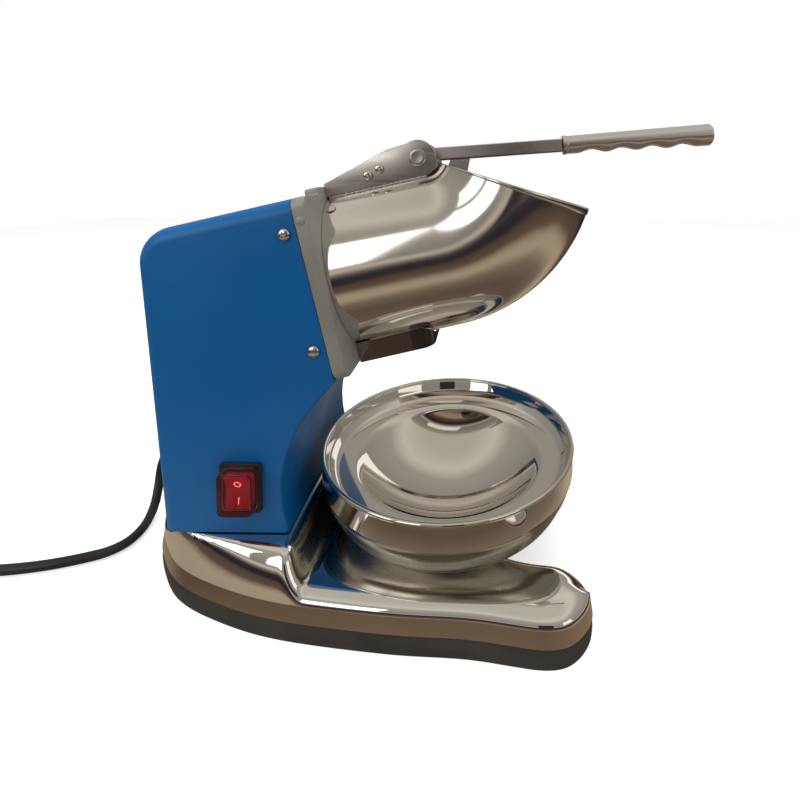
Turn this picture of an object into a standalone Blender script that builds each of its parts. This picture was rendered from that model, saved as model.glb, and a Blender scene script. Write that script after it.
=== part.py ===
"""Electric ice shaver: tilted blade drum with an elbow mouth, press lever, motor housing, two-armed base.

Metres, +Z up.  +X is the front (lever grip), -Y the side with the switch.  The origin is the centre of
the object's box on the surface that it stands on.  The head (drum, motor and bracket) has its own frame:
s runs forward along the drum's axis from the face of the front casting, n points up from that axis.
"""
import math

import bmesh
import bpy
from mathutils import Matrix, Vector
from mathutils.geometry import delaunay_2d_cdt

# Clearance between touching solids, and how far a cutter runs past what it cuts
GAP = 0.0003
PAST = 0.002
FAR_PAST = 0.020

# Base: plan outline of the skirt, one half, from the rear centre round the tip of an arm into the notch
OUTLINE = [
    (-0.19675, 0.0), (-0.1905, 0.0240), (-0.1785, 0.0405), (-0.1580, 0.0585), (-0.1280, 0.0715),
    (-0.0860, 0.0825), (-0.0230, 0.0900), (0.0230, 0.0925), (0.0500, 0.0960), (0.0660, 0.0980),
    (0.0800, 0.0966), (0.0910, 0.0893), (0.0982, 0.0790), (0.0985, 0.0690), (0.0935, 0.0585),
    (0.0830, 0.0512), (0.0620, 0.0480), (0.0450, 0.0410), (0.0355, 0.0220), (0.0335, 0.0),
]
OUTLINE_STEPS = 3
NOTCH_START = 13
SKIRT_HEIGHT = 0.012
SKIRT_WALL = 0.005
SKIRT_LIP_WIDTH = 0.004
SKIRT_LIP_HEIGHT = 0.003
CREASE_HEIGHT = 0.022
CREASE_INSET = 0.0015
CASTING_WALL = 0.003
PLATEAU_HEIGHT = 0.030
SHOULDER_WIDTH = 0.015
NOTCH_FLANK_WIDTH = 0.020
NOTCH_EDGE_HEIGHT = 0.0165
PEDESTAL_HEIGHT = 0.0477
PEDESTAL_FRONT_X = -0.084
PEDESTAL_TOE_X = -0.0685
PEDESTAL_SIDE_MARGIN = 0.0015
PEDESTAL_REAR_MARGIN = 0.0018
PEDESTAL_CORNER = 0.022
BOTTOM_PLATE_THICKNESS = 0.002

# Bowl, turned about a vertical axis
BOWL_X = 0.0090
BOWL_RIM_RADIUS = 0.0910
BOWL_RIM_HEIGHT = 0.077
BOWL_BAND_HEIGHT = 0.017
BOWL_FOOT_RADIUS = 0.0690
BOWL_SHEET = 0.0014
BOWL_LEDGE_DEPTH = 0.019
BOWL_DISH_RADIUS = 0.076
BOWL_DISH_FLOOR = 0.040

# Head frame
TILT = math.radians(13.4)
HEAD_X = -0.0620
HEAD_Z = 0.2008

# Housing
HOUSING_HALF_WIDTH = 0.062
HOUSING_SHEET = 0.0015
HOUSING_TOP_N = 0.0564
HOUSING_REAR_X = -0.1648
HOUSING_REAR_LEAN = 0.0733
HOUSING_TOP_CORNER = 0.022
HOUSING_EDGE_RADIUS = 0.009
PANEL_CURVE = [(-0.0775, 0.1170), (-0.0885, 0.0900), (-0.0897, 0.0680), (-0.0860, 0.0480)]
VENT_COUNT = 7
VENT_WIDTH = 0.003
VENT_LENGTH = 0.056
VENT_PITCH = 0.009
VENT_LOW_Z = 0.120

# Front casting
FLANGE_PROUD = 0.0005
FLANGE_BOTTOM_N = -0.0580
FLANGE_THICKNESS = 0.0085
FLANGE_CORNER = 0.007
TAB_HALF_WIDTH = 0.036
TAB_HEIGHT = 0.0046
LIP_DEPTH = 0.0135
LIP_WALL = 0.0055
LIP_RISE = 0.0025
CAVITY_RADIUS = 0.0495
CAVITY_DEPTH = 0.0090
CAVITY_FLOOR = 0.0020
DISCHARGE_HALF_WIDTH = 0.026
DISCHARGE_TOP = 0.035

# Drum and elbow mouth
DRUM_RADIUS = 0.0565
DRUM_WALL = 0.0015
DRUM_LENGTH = 0.0695
ELBOW_RADIUS = 0.0655
ELBOW_ANGLE = math.radians(60.2)
RIM_BEAD = 0.0009
RIM_BEAD_LENGTH = 0.003
DRUM_SIDES = 32
RIVET_S = 0.0052
RIVET_ANGLE = math.radians(37.5)
RIVET_RADIUS = 0.0034

# Guard round the discharge, under the drum
GUARD_HALF_WIDTH = 0.0350
GUARD_LENGTH = 0.0510
GUARD_DROP = 0.0008
GUARD_CORNER = 0.008
GUARD_SHEET = 0.0015

# Bracket and lever pivot
PIVOT_S = 0.0667
PIVOT_N = 0.0659
BRACKET_HALF_WIDTH = 0.0220
BRACKET_SHEET = 0.0015
BRACKET_REAR_N = 0.0625
BRACKET_STEP_S = 0.0474
BRACKET_STEP_N = 0.0758
BRACKET_END_RADIUS = 0.0120
BRIDGE_SIDE_DEPTH = 0.013
BRACKET_SCREWS = [(0.0309, 0.0617), (0.0395, 0.0642)]
BRACKET_SCREW_HEAD = 0.0031
PIN_RADIUS = 0.004
PIN_HEAD_RADIUS = 0.0057
PIN_HEAD = 0.0025

# Lever
LEVER_RISE = math.radians(4.6)
HUB_RADIUS = 0.0084
BAR_WIDTH = 0.0094
BAR_RAISE = 0.0024
BAR_END = 0.1015
TANG_RADIUS = 0.004
GRIP_START = 0.1020
GRIP_END_X = 0.19675
GRIP_RADIUS = 0.0064
GRIP_END_RADIUS = 0.0078
FINGER_VALLEYS = 4
FINGER_DEPTH = 0.0012
GRIP_CAP = 0.010
GRIP_COLLAR = 0.0006
GRIP_COLLAR_LENGTH = 0.003
ARM_HALF_WIDTH = 0.004
ARM_REAR = 0.0200
ARM_FRONT = 0.0340
ARM_TOP = [(0.0798, 0.0500), (0.0700, 0.0350), (0.0520, 0.0200)]
ARM_BOTTOM = [(0.0520, 0.0070), (0.0790, 0.0240), (0.0920, 0.0400)]
ARM_FOOT_UP = 0.007
ARM_FOOT_DOWN = 0.006
PUSHER_RADIUS = 0.040
PUSHER_S = 0.025
PUSHER_N = 0.002
PUSHER_THICKNESS = 0.003

# Motor, along the drum's axis
SHAFT_RADIUS = 0.004
SHAFT_REAR = -0.097
SHAFT_FRONT = 0.011
SHOULDER_RADIUS = 0.007
SHOULDER_DEPTH = 0.006
MOTOR_RADIUS = 0.042
MOTOR_WALL = 0.0027
BELL_FRONT = -0.0113
BELL_DEPTH = 0.0147
BELL_WEB = 0.003
BELL_LIP = 0.0013
BELL_HUB_WALL = 0.0032
CASE_LENGTH = 0.040
BEARING_RADIUS = 0.011
BEARING_WIDTH = 0.0064
ROTOR_RADIUS = 0.027
ROTOR_LENGTH = 0.028
STATOR_BORE = 0.028
STATOR_OVERHANG = 0.002
FAN_RADIUS = 0.034
FAN_HUB_RADIUS = 0.010
FAN_BLADES = 6
FAN_THICKNESS = 0.008
FAN_REAR = -0.0955
DISC_RADIUS = 0.048
DISC_THICKNESS = 0.003
DISC_REAR = 0.001
BLADE_LENGTH = 0.032
BLADE_WIDTH = 0.013
BLADE_THICKNESS = 0.002
BLADE_RADIUS = 0.028
SLOT_WIDTH = 0.006
SLOT_MARGIN = 0.002
NUT_RADIUS = 0.0085
NUT_HEIGHT = 0.0058

# Screws
SCREW_S = -0.016
SCREW_N = 0.0363
SCREW_HEAD = 0.0036
SCREW_HEAD_HEIGHT = 0.0018
SCREW_SHANK = 0.002
SCREW_LENGTH = 0.0062

# Switch on the near side
SWITCH_X = -0.1140
SWITCH_Z = 0.0775
BEZEL_WIDTH = 0.0255
BEZEL_HEIGHT = 0.031
BEZEL_THICKNESS = 0.002
SWITCH_BODY_WIDTH = 0.0205
SWITCH_BODY_HEIGHT = 0.0260
SWITCH_BODY_DEPTH = 0.026
WELL_MARGIN = 0.0018
WELL_DEPTH = 0.007
COVER_HEIGHT = 0.0095
COVER_WALL = 0.0008
COVER_WIDTH = 0.0215
COVER_LENGTH = 0.0265
ROCKER_WIDTH = 0.0150
ROCKER_LENGTH = 0.0200
ROCKER_HEIGHT = 0.0070
ROCKER_TILT = math.radians(6)

# Cord
CORD_DIAMETER = 0.0064
CORD_POINT_STEP = 0.016
GLAND_Y = 0.020
GLAND_Z = 0.062
GLAND_LENGTH = 0.026
GLAND_ROOT = 0.0065
GLAND_TIP = 0.0046
GLAND_BORE_GAP = 0.0004
GLAND_COLLAR = 0.002
GLAND_DEPTH = 0.006
CORD_ROUTE = [
    (-0.1780, 0.0200, 0.0615), (-0.1950, 0.0200, 0.0607), (-0.2095, 0.0218, 0.0560),
    (-0.2205, 0.0255, 0.0450), (-0.2265, 0.0262, 0.0320), (-0.2267, 0.0228, 0.0190),
    (-0.2243, 0.0150, 0.0090), (-0.2215, 0.0045, 0.0045), (-0.2195, -0.0070, 0.0036),
    (-0.2210, -0.0180, 0.0036), (-0.2280, -0.0262, 0.0036), (-0.2390, -0.0312, 0.0036),
    (-0.2540, -0.0360, 0.0036), (-0.2700, -0.0395, 0.0036), (-0.2870, -0.0420, 0.0038),
]
COIL_X = -0.340
COIL_Y = -0.0880
COIL_PITCH = 0.0071
COIL_LAYER = 0.0071
COIL_INNER = 0.0270
COIL_TURNS = 2.5
COIL_POINTS = 24
COIL_LIFT = 0.0012
COIL_DIP = 0.0012
COIL_LEAD = 0.0400
COIL_TAIL = 0.0200
TIE_WIDTH = 0.009
TIE_SHEET = 0.0008
TIE_SLACK = 0.0012
PLUG_LENGTH = 0.034
PLUG_NECK = 0.011
PLUG_WIDTH = 0.024
PLUG_HEIGHT = 0.016
PIN_LENGTH = 0.019
PLUG_PIN_RADIUS = 0.0023
PLUG_PIN_SPACING = 0.0095

# Terminal block
TERMINAL_SIZE = (0.030, 0.016, 0.012)
TERMINAL_X = -0.135
TERMINAL_Y = 0.018

HEAD = Matrix.Translation((HEAD_X, 0, HEAD_Z)) @ Matrix.Rotation(-TILT, 4, "Y")
TURN_TO_S = Matrix.Rotation(math.pi / 2, 4, "Y")
ALONG_S = HEAD.to_3x3() @ Vector((1, 0, 0))
DRUM_END_N = ELBOW_RADIUS


def clear_scene():
    """Start from an empty file."""
    for item in list(bpy.data.objects):
        bpy.data.objects.remove(item)


def finish_material(name, colour, roughness, metallic, transmission=0.0):
    """Give a Principled BSDF with one colour and finish."""
    material = bpy.data.materials.new(name)
    material.use_nodes = True
    shader = material.node_tree.nodes["Principled BSDF"]
    shader.inputs["Base Color"].default_value = (*colour, 1.0)
    shader.inputs["Roughness"].default_value = roughness
    shader.inputs["Metallic"].default_value = metallic
    shader.inputs["Transmission Weight"].default_value = transmission
    return material


clear_scene()
BLUE = finish_material("blue_paint", (0.0, 0.075, 0.225), 0.38, 0.0)
CHROME = finish_material("polished_steel", (0.78, 0.77, 0.75), 0.08, 1.0)
STEEL = finish_material("brushed_steel", (0.62, 0.61, 0.59), 0.28, 1.0)
CAST = finish_material("cast_aluminium", (0.40, 0.39, 0.38), 0.45, 0.9)
RUBBER = finish_material("grey_rubber", (0.028, 0.026, 0.024), 0.6, 0.0)
BLACK = finish_material("black_plastic", (0.012, 0.012, 0.012), 0.4, 0.0)
RED = finish_material("red_plastic", (0.50, 0.01, 0.015), 0.25, 0.0)
CLEAR = finish_material("clear_cover", (0.45, 0.08, 0.08), 0.2, 0.0, 0.7)
COPPER = finish_material("lamination", (0.30, 0.22, 0.17), 0.5, 0.7)
BRASS = finish_material("brass", (0.66, 0.49, 0.21), 0.3, 1.0)


def add_object(name, bm, material, smooth=40):
    """Turn a bmesh into a named object with its material; faces under the angle are smooth."""
    bmesh.ops.recalc_face_normals(bm, faces=bm.faces)
    mesh = bpy.data.meshes.new(name)
    bm.to_mesh(mesh)
    bm.free()
    mesh.materials.append(material)
    mesh.shade_smooth()
    mesh.set_sharp_from_angle(angle=math.radians(smooth))
    item = bpy.data.objects.new(name, mesh)
    bpy.context.scene.collection.objects.link(item)
    return item


def curve_through(points, steps, closed=False):
    """Catmull-Rom points through a list of vectors."""
    points = [Vector(p) for p in points]
    count = len(points)
    result = []
    for i in range(count if closed else count - 1):
        if closed:
            p0, p1, p2, p3 = (points[(i + k - 1) % count] for k in range(4))
        else:
            p1, p2 = points[i], points[i + 1]
            p0 = points[i - 1] if i else 2 * p1 - p2
            p3 = points[i + 2] if i + 2 < count else 2 * p2 - p1
        for k in range(steps):
            t = k / steps
            result.append(0.5 * (2 * p1 + (p2 - p0) * t + (2 * p0 - 5 * p1 + 4 * p2 - p3) * t * t
                                 + (3 * p1 - p0 - 3 * p2 + p3) * t ** 3))
    if not closed:
        result.append(points[-1])
    return result


def turned(name, profile, frame, material, sides=32, loop=False, radius_at=None):
    """Turn a profile of (radius, height) about the frame's Z axis; a loop profile makes a ring."""
    bm = bmesh.new()
    rings = []
    for radius, height in profile:
        if radius < 1e-7:
            rings.append([bm.verts.new(frame @ Vector((0, 0, height)))])
            continue
        ring = []
        for k in range(sides):
            angle = 2 * math.pi * (k + 0.5) / sides
            here = radius if radius_at is None else radius_at(radius, height, angle)
            spot = Vector((here * math.cos(angle), here * math.sin(angle), height))
            ring.append(bm.verts.new(frame @ spot))
        rings.append(ring)
    pairs = list(zip(rings, rings[1:]))
    if loop:
        pairs.append((rings[-1], rings[0]))
    for low, high in pairs:
        if len(low) == 1 and len(high) == 1:
            continue
        for k in range(sides):
            j = (k + 1) % sides
            if len(low) == 1:
                bm.faces.new((low[0], high[k], high[j]))
            elif len(high) == 1:
                bm.faces.new((low[k], low[j], high[0]))
            else:
                bm.faces.new((low[k], low[j], high[j], high[k]))
    return add_object(name, bm, material)


def lofted(name, rings, material, closed=False, smooth=40):
    """Skin rings of equal count; the ends are capped unless the rings close on themselves."""
    bm = bmesh.new()
    loops = [[bm.verts.new(p) for p in ring] for ring in rings]
    pairs = list(zip(loops, loops[1:]))
    if closed:
        pairs.append((loops[-1], loops[0]))
    for first, second in pairs:
        for k in range(len(first)):
            j = (k + 1) % len(first)
            bm.faces.new((first[k], first[j], second[j], second[k]))
    if not closed:
        bm.faces.new(loops[0])
        bm.faces.new(loops[-1])
    return add_object(name, bm, material, smooth)


def plate(name, outline, low, high, place, material, smooth=40):
    """Extrude a flat outline; place(u, v, w) gives the world point of outline point (u, v) at depth w."""
    rings = [[place(u, v, w) for u, v in outline] for w in (low, high)]
    return lofted(name, rings, material, smooth=smooth)


def head_point(s, y, n):
    """World point of a head-frame position."""
    return HEAD @ Vector((s, y, n))


def head_side(s, n, y):
    """Place for plates that lie along the head's side view."""
    return head_point(s, y, n)


def head_front(y, n, s):
    """Place for plates that lie across the head's axis."""
    return head_point(s, y, n)


def world_side(x, z, y):
    """Place for plates that lie along the world's side view."""
    return Vector((x, y, z))


def axis_frame(origin, direction):
    """Frame whose Z axis points along a direction."""
    return Matrix.Translation(origin) @ Vector(direction).to_track_quat("Z", "Y").to_matrix().to_4x4()


def cutter_box(bm, low, high, frame=Matrix.Identity(4)):
    """Add a box between two corners of a frame to a cutter."""
    size = [b - a for a, b in zip(low, high)]
    centre = [(a + b) / 2 for a, b in zip(low, high)]
    place = frame @ Matrix.Translation(centre) @ Matrix.Diagonal((*size, 1))
    bmesh.ops.create_cube(bm, size=1.0, matrix=place)


def cutter_rod(bm, frame, radius, low, high, sides=16):
    """Add a rod along the frame's Z axis to a cutter."""
    place = frame @ Matrix.Translation((0, 0, (low + high) / 2))
    bmesh.ops.create_cone(bm, cap_ends=True, segments=sides, radius1=radius, radius2=radius,
                          depth=high - low, matrix=place)


def hide_tool(tool):
    """Leave a Boolean tool out of the object."""
    tool.hide_render = True
    tool.display_type = "WIRE"


def boolean(target, tool, operation="DIFFERENCE"):
    """Cut or join a tool on a target."""
    modifier = target.modifiers.new(tool.name, "BOOLEAN")
    modifier.operation = operation
    modifier.object = tool
    hide_tool(tool)


def cut(target, bm, label):
    """Cut a bmesh of separate closed shapes out of a target."""
    boolean(target, add_object(target.name + "_" + label, bm, CAST))


def fillet(before, corner, after, radius, steps):
    """Arc that rounds a corner of a polyline."""
    before, corner, after = Vector(before), Vector(corner), Vector(after)
    first = (before - corner).normalized()
    second = (after - corner).normalized()
    half = first.angle(second) / 2
    centre = corner + (first + second).normalized() * radius / math.sin(half)
    start = corner + first * radius / math.tan(half) - centre
    end = corner + second * radius / math.tan(half) - centre
    turn = start.angle_signed(end)
    return [centre + Matrix.Rotation(-turn * k / steps, 2) @ start for k in range(steps + 1)]


def rounded_rectangle(width, height, radius, steps=3):
    """Outline of a rectangle with round corners, about its centre."""
    outline = []
    for k, (sx, sy) in enumerate(((1, 1), (-1, 1), (-1, -1), (1, -1))):
        for i in range(steps + 1):
            angle = (k + i / steps) * math.pi / 2
            outline.append((sx * (width / 2 - radius) + radius * math.cos(angle),
                            sy * (height / 2 - radius) + radius * math.sin(angle)))
    return outline


# Base

def base_outline():
    """Closed plan outline and, for each point, whether it belongs to the notch between the arms."""
    upper = OUTLINE
    lower = [(x, -y) for x, y in reversed(OUTLINE[1:-1])]
    points = curve_through(upper + lower, OUTLINE_STEPS, closed=True)
    count = len(OUTLINE)
    last_notch = 2 * (count - 1) - NOTCH_START
    notch = [NOTCH_START * OUTLINE_STEPS <= i <= last_notch * OUTLINE_STEPS for i in range(len(points))]
    return points, notch


OUTLINE_POINTS, IN_NOTCH = base_outline()


def inset(distance):
    """Outline moved inward along its normals."""
    count = len(OUTLINE_POINTS)
    moved = []
    for i, point in enumerate(OUTLINE_POINTS):
        along = (OUTLINE_POINTS[(i + 1) % count] - OUTLINE_POINTS[i - 1]).normalized()
        moved.append(point + Vector((along.y, -along.x)) * distance)
    return moved


def edge_distances(x, y):
    """Distance of a plan point to the outer edge and to the notch's edge."""
    outer = notch = 1.0
    count = len(OUTLINE_POINTS)
    here = Vector((x, y))
    for i in range(count):
        a, b = OUTLINE_POINTS[i], OUTLINE_POINTS[(i + 1) % count]
        t = max(0.0, min(1.0, (here - a).dot(b - a) / (b - a).length_squared))
        gap = (here - a - (b - a) * t).length
        if IN_NOTCH[i] and IN_NOTCH[(i + 1) % count]:
            notch = min(notch, gap)
        else:
            outer = min(outer, gap)
    return outer, notch


def smooth_step(t):
    """Ramp from 0 to 1 with flat ends."""
    t = max(0.0, min(1.0, t))
    return t * t * (3 - 2 * t)


def quarter_round(t):
    """Quarter ellipse: steep at 0, flat at 1."""
    t = max(0.0, min(1.0, t))
    return math.sqrt(1 - (1 - t) ** 2)


def foot_distance(x, y):
    """Distance outside the rounded footprint of the pedestal."""
    centre = (HOUSING_REAR_X + PEDESTAL_REAR_MARGIN + PEDESTAL_CORNER,
              HOUSING_HALF_WIDTH - PEDESTAL_SIDE_MARGIN - PEDESTAL_CORNER)
    dx = max(centre[0] - x, 0.0)
    dy = max(abs(y) - centre[1], 0.0)
    return max(0.0, math.hypot(dx, dy) - PEDESTAL_CORNER)


def casting_height(x, y):
    """Top surface of the base casting."""
    outer, notch = edge_distances(x, y)
    ramp = smooth_step((PEDESTAL_TOE_X - x) / (PEDESTAL_TOE_X - PEDESTAL_FRONT_X))
    top = PLATEAU_HEIGHT + (PEDESTAL_HEIGHT - PLATEAU_HEIGHT) * ramp
    outer = max(0.0, outer - CREASE_INSET)
    rest = ramp * foot_distance(x, y) + (1 - ramp) * max(0.0, SHOULDER_WIDTH - outer)
    height = CREASE_HEIGHT + (top - CREASE_HEIGHT) * quarter_round(outer / max(1e-6, outer + rest))
    flank = NOTCH_EDGE_HEIGHT + (top - NOTCH_EDGE_HEIGHT) * math.sin(
        math.pi / 2 * min(1.0, notch / NOTCH_FLANK_WIDTH))
    return min(height, flank)


def plan_surface(bm, border, inner_rings, spacing, height):
    """Triangulate the inside of a border of vertices, with inner rings and a grid, at given heights."""
    points = [v.co.xy for v in border]
    edges = [(i, (i + 1) % len(border)) for i in range(len(border))]
    for ring in inner_rings:
        start = len(points)
        points += [p for p in ring]
        edges += [(start + i, start + (i + 1) % len(ring)) for i in range(len(ring))]
    limit = max(abs(p.x) for p in points)
    cells = int(limit / spacing) + 1
    clear = inner_rings[-1]
    for i in range(-cells, cells + 1):
        for j in range(-cells, cells + 1):
            spot = Vector((i * spacing, (j + 0.5 * (i % 2)) * spacing))
            if inside_polygon(spot, clear) and min((spot - p).length for p in clear) > spacing * 0.45:
                points.append(spot)
    flat, _, faces, sources, _, _ = delaunay_2d_cdt(points, edges, [], 1, 1e-7)
    made = []
    for point, source in zip(flat, sources):
        own = [k for k in source if k < len(border)]
        made.append(border[own[0]] if own else bm.verts.new((point.x, point.y, height(point.x, point.y))))
    for face in faces:
        bm.faces.new([made[k] for k in face])


def inside_polygon(point, polygon):
    """True where a plan point lies inside a closed polygon."""
    inside = False
    for a, b in zip(polygon, polygon[1:] + polygon[:1]):
        if (a.y > point.y) != (b.y > point.y):
            if point.x < (b.x - a.x) * (point.y - a.y) / (b.y - a.y) + a.x:
                inside = not inside
    return inside


def strip(bm, first, second):
    """Join two loops of vertices with a band of faces."""
    for k in range(len(first)):
        j = (k + 1) % len(first)
        bm.faces.new((first[k], first[j], second[j], second[k]))


def make_base():
    """Rubber skirt, hollow casting and bottom plate."""
    section = [(0.0008, 0.0), (0.0, 0.0015), (0.0002, SKIRT_HEIGHT), (SKIRT_WALL, SKIRT_HEIGHT),
               (SKIRT_WALL, SKIRT_LIP_HEIGHT), (SKIRT_WALL + SKIRT_LIP_WIDTH, SKIRT_LIP_HEIGHT),
               (SKIRT_WALL + SKIRT_LIP_WIDTH, 0.0)]
    rings = [[(p.x, p.y, z) for p in inset(d)] for d, z in section]
    lofted("rubber_skirt", rings, RUBBER, closed=True)

    bm = bmesh.new()
    foot = SKIRT_HEIGHT + GAP

    def loop(distance, height):
        return [bm.verts.new((p.x, p.y, height)) for p in inset(distance)]

    outer = loop(0.0, foot)
    crease = loop(CREASE_INSET, NOTCH_EDGE_HEIGHT)
    for vertex in crease:
        vertex.co.z = casting_height(vertex.co.x, vertex.co.y)
    inner = loop(CASTING_WALL, foot)
    strip(bm, outer, crease)
    strip(bm, outer, inner)
    plan_surface(bm, crease, [inset(d) for d in (0.0035, 0.007, 0.012)], 0.014, casting_height)
    plan_surface(bm, inner, [inset(0.009)], 0.018, lambda x, y: casting_height(x, y) - CASTING_WALL)
    add_object("base_casting", bm, CHROME, smooth=50)

    low = SKIRT_LIP_HEIGHT + GAP
    edge = inset(SKIRT_WALL + GAP)
    rings = [[(p.x, p.y, z) for p in edge] for z in (low, low + BOTTOM_PLATE_THICKNESS)]
    lofted("bottom_plate", rings, STEEL)


# Bowl

def make_bowl():
    """Spun bowl: banded outer wall, inner ledge and dish, open below."""
    seat = PLATEAU_HEIGHT + GAP
    rim = BOWL_RIM_HEIGHT
    band = rim - BOWL_BAND_HEIGHT
    ledge = rim - BOWL_LEDGE_DEPTH
    wall = BOWL_SHEET
    dish = []
    steps = 5
    for k in range(steps + 1):
        r = BOWL_DISH_RADIUS * (1 - k / steps)
        dish.append((r, BOWL_DISH_FLOOR + (ledge - 0.002 - BOWL_DISH_FLOOR) * (r / BOWL_DISH_RADIUS) ** 2.2))
    profile = [(r, z - wall) for r, z in reversed(dish)]
    profile += [(BOWL_RIM_RADIUS - 0.0095, ledge - wall - 0.0006),
                (BOWL_RIM_RADIUS - 2.3 * wall, band - 0.001),
                (BOWL_FOOT_RADIUS + 0.0105, seat + 0.0105), (BOWL_FOOT_RADIUS - 0.001, seat + wall),
                (BOWL_FOOT_RADIUS - 0.012, seat + wall), (BOWL_FOOT_RADIUS - 0.012, seat),
                (BOWL_FOOT_RADIUS, seat), (BOWL_FOOT_RADIUS + 0.0125, seat + 0.0085),
                (BOWL_RIM_RADIUS - 0.003, band - 0.004), (BOWL_RIM_RADIUS - 0.0006, band),
                (BOWL_RIM_RADIUS - 0.0006, rim - 0.0025), (BOWL_RIM_RADIUS, rim - 0.0012),
                (BOWL_RIM_RADIUS - 0.0012, rim), (BOWL_RIM_RADIUS - 0.0024, rim - 0.0012),
                (BOWL_RIM_RADIUS - 0.0056, ledge + 0.003), (BOWL_RIM_RADIUS - 0.0075, ledge),
                (BOWL_DISH_RADIUS + 0.003, ledge - 0.0008)]
    profile += dish
    turned("bowl", profile, Matrix.Translation((BOWL_X, 0, 0)), CHROME, sides=40)


# Housing

def rear_x(z):
    """Outer face of the leaning rear wall."""
    return HOUSING_REAR_X - HOUSING_REAR_LEAN * (z - PEDESTAL_HEIGHT - GAP)


def housing_block(depth, front_s, bottom_z):
    """Solid of the housing's outline, drawn in by a depth, with round top and rear edges."""
    top = HOUSING_TOP_N - depth
    front = head_point(front_s, 0, top).xz
    slope = math.tan(TILT)
    foot = Vector((rear_x(bottom_z) + depth, bottom_z))
    reach = (front.y - bottom_z - slope * (front.x - foot.x)) / (1 + slope * HOUSING_REAR_LEAN)
    corner = Vector((foot.x - HOUSING_REAR_LEAN * reach, bottom_z + reach))
    arc = fillet(foot, corner, front, HOUSING_TOP_CORNER - depth, 6)
    round_part = [foot] + arc + [front]
    if depth:
        rest = [Vector((front.x + FAR_PAST, bottom_z))]
    else:
        low = head_point(front_s, 0, FLANGE_BOTTOM_N).xz
        rest = curve_through([low] + PANEL_CURVE, 3)
    outline = round_part + rest
    half = HOUSING_HALF_WIDTH - depth
    bm = bmesh.new()
    sides = [[bm.verts.new((p[0], y, p[1])) for p in outline] for y in (-half, half)]
    strip(bm, sides[0], sides[1])
    edges = []
    for side in sides:
        bm.faces.new(side)
        for a, b in zip(side[:len(round_part)], side[1:len(round_part)]):
            edges.append(bm.edges.get((a, b)))
    bmesh.ops.recalc_face_normals(bm, faces=bm.faces)
    bmesh.ops.bevel(bm, geom=edges, offset=HOUSING_EDGE_RADIUS - depth, segments=4, profile=0.5,
                    affect="EDGES", clamp_overlap=False)
    return bm


def screw_frames():
    """Frames of the housing's side screws, Z pointing out of the wall."""
    for side in (-1, 1):
        for n in (SCREW_N, -SCREW_N):
            place = head_point(SCREW_S, side * HOUSING_HALF_WIDTH, n)
            yield axis_frame(place, (0, side, 0))


def make_housing():
    """Folded sheet housing with vents, its concave front panel and side screws."""
    bottom = PEDESTAL_HEIGHT + GAP
    shell = add_object("housing_shell", housing_block(0.0, -FLANGE_THICKNESS - GAP, bottom), BLUE)
    cut(shell, housing_block(HOUSING_SHEET, FAR_PAST, bottom - FAR_PAST / 2), "inside")
    holes = bmesh.new()
    for k in range(VENT_COUNT):
        z = VENT_LOW_Z + k * VENT_PITCH
        x = rear_x(z)
        cutter_box(holes, (x - 2 * PAST, -VENT_LENGTH / 2, z),
                   (x + 2 * PAST, VENT_LENGTH / 2, z + VENT_WIDTH))
    cutter_rod(holes, axis_frame((rear_x(GLAND_Z), GLAND_Y, GLAND_Z), (-1, 0, 0)), GLAND_TIP + 2 * GAP,
               -2 * PAST, PAST)
    half_w = SWITCH_BODY_WIDTH / 2 + GAP
    half_h = SWITCH_BODY_HEIGHT / 2 + GAP
    wall = HOUSING_HALF_WIDTH
    cutter_box(holes, (SWITCH_X - half_w, -wall - PAST, SWITCH_Z - half_h),
               (SWITCH_X + half_w, -wall + 2 * PAST, SWITCH_Z + half_h))
    for frame in screw_frames():
        cutter_rod(holes, frame, SCREW_SHANK + GAP, -HOUSING_SHEET - PAST, PAST)
    cut(shell, holes, "holes")

    low = head_point(-FLANGE_THICKNESS - GAP, 0, FLANGE_BOTTOM_N).xz
    face = curve_through([low] + PANEL_CURVE, 4)
    back = []
    for i, point in enumerate(face):
        along = (face[min(i + 1, len(face) - 1)] - face[max(i - 1, 0)]).normalized()
        back.append(point + Vector((along.y, -along.x)) * HOUSING_SHEET)
    back[-1].y = face[-1].y
    outline = [tuple(p) for p in face] + [tuple(p) for p in reversed(back)]
    half = HOUSING_HALF_WIDTH - HOUSING_SHEET - GAP
    plate("housing_front_panel", outline, -half, half, world_side, BLUE)

    for k, frame in enumerate(screw_frames()):
        make_screw("housing_screw_%d" % (k + 1), frame, SCREW_HEAD, SCREW_LENGTH)


def make_screw(name, frame, head, length):
    """Pan-head screw whose head sits a clearance above the frame's plane."""
    top = GAP + SCREW_HEAD_HEIGHT
    profile = [(0.0, -length), (SCREW_SHANK, -length), (SCREW_SHANK, GAP), (head, GAP),
               (head, GAP + 0.4 * SCREW_HEAD_HEIGHT), (0.62 * head, top), (0.0, top)]
    turned(name, profile, frame, STEEL, sides=12)


# Front casting

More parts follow.
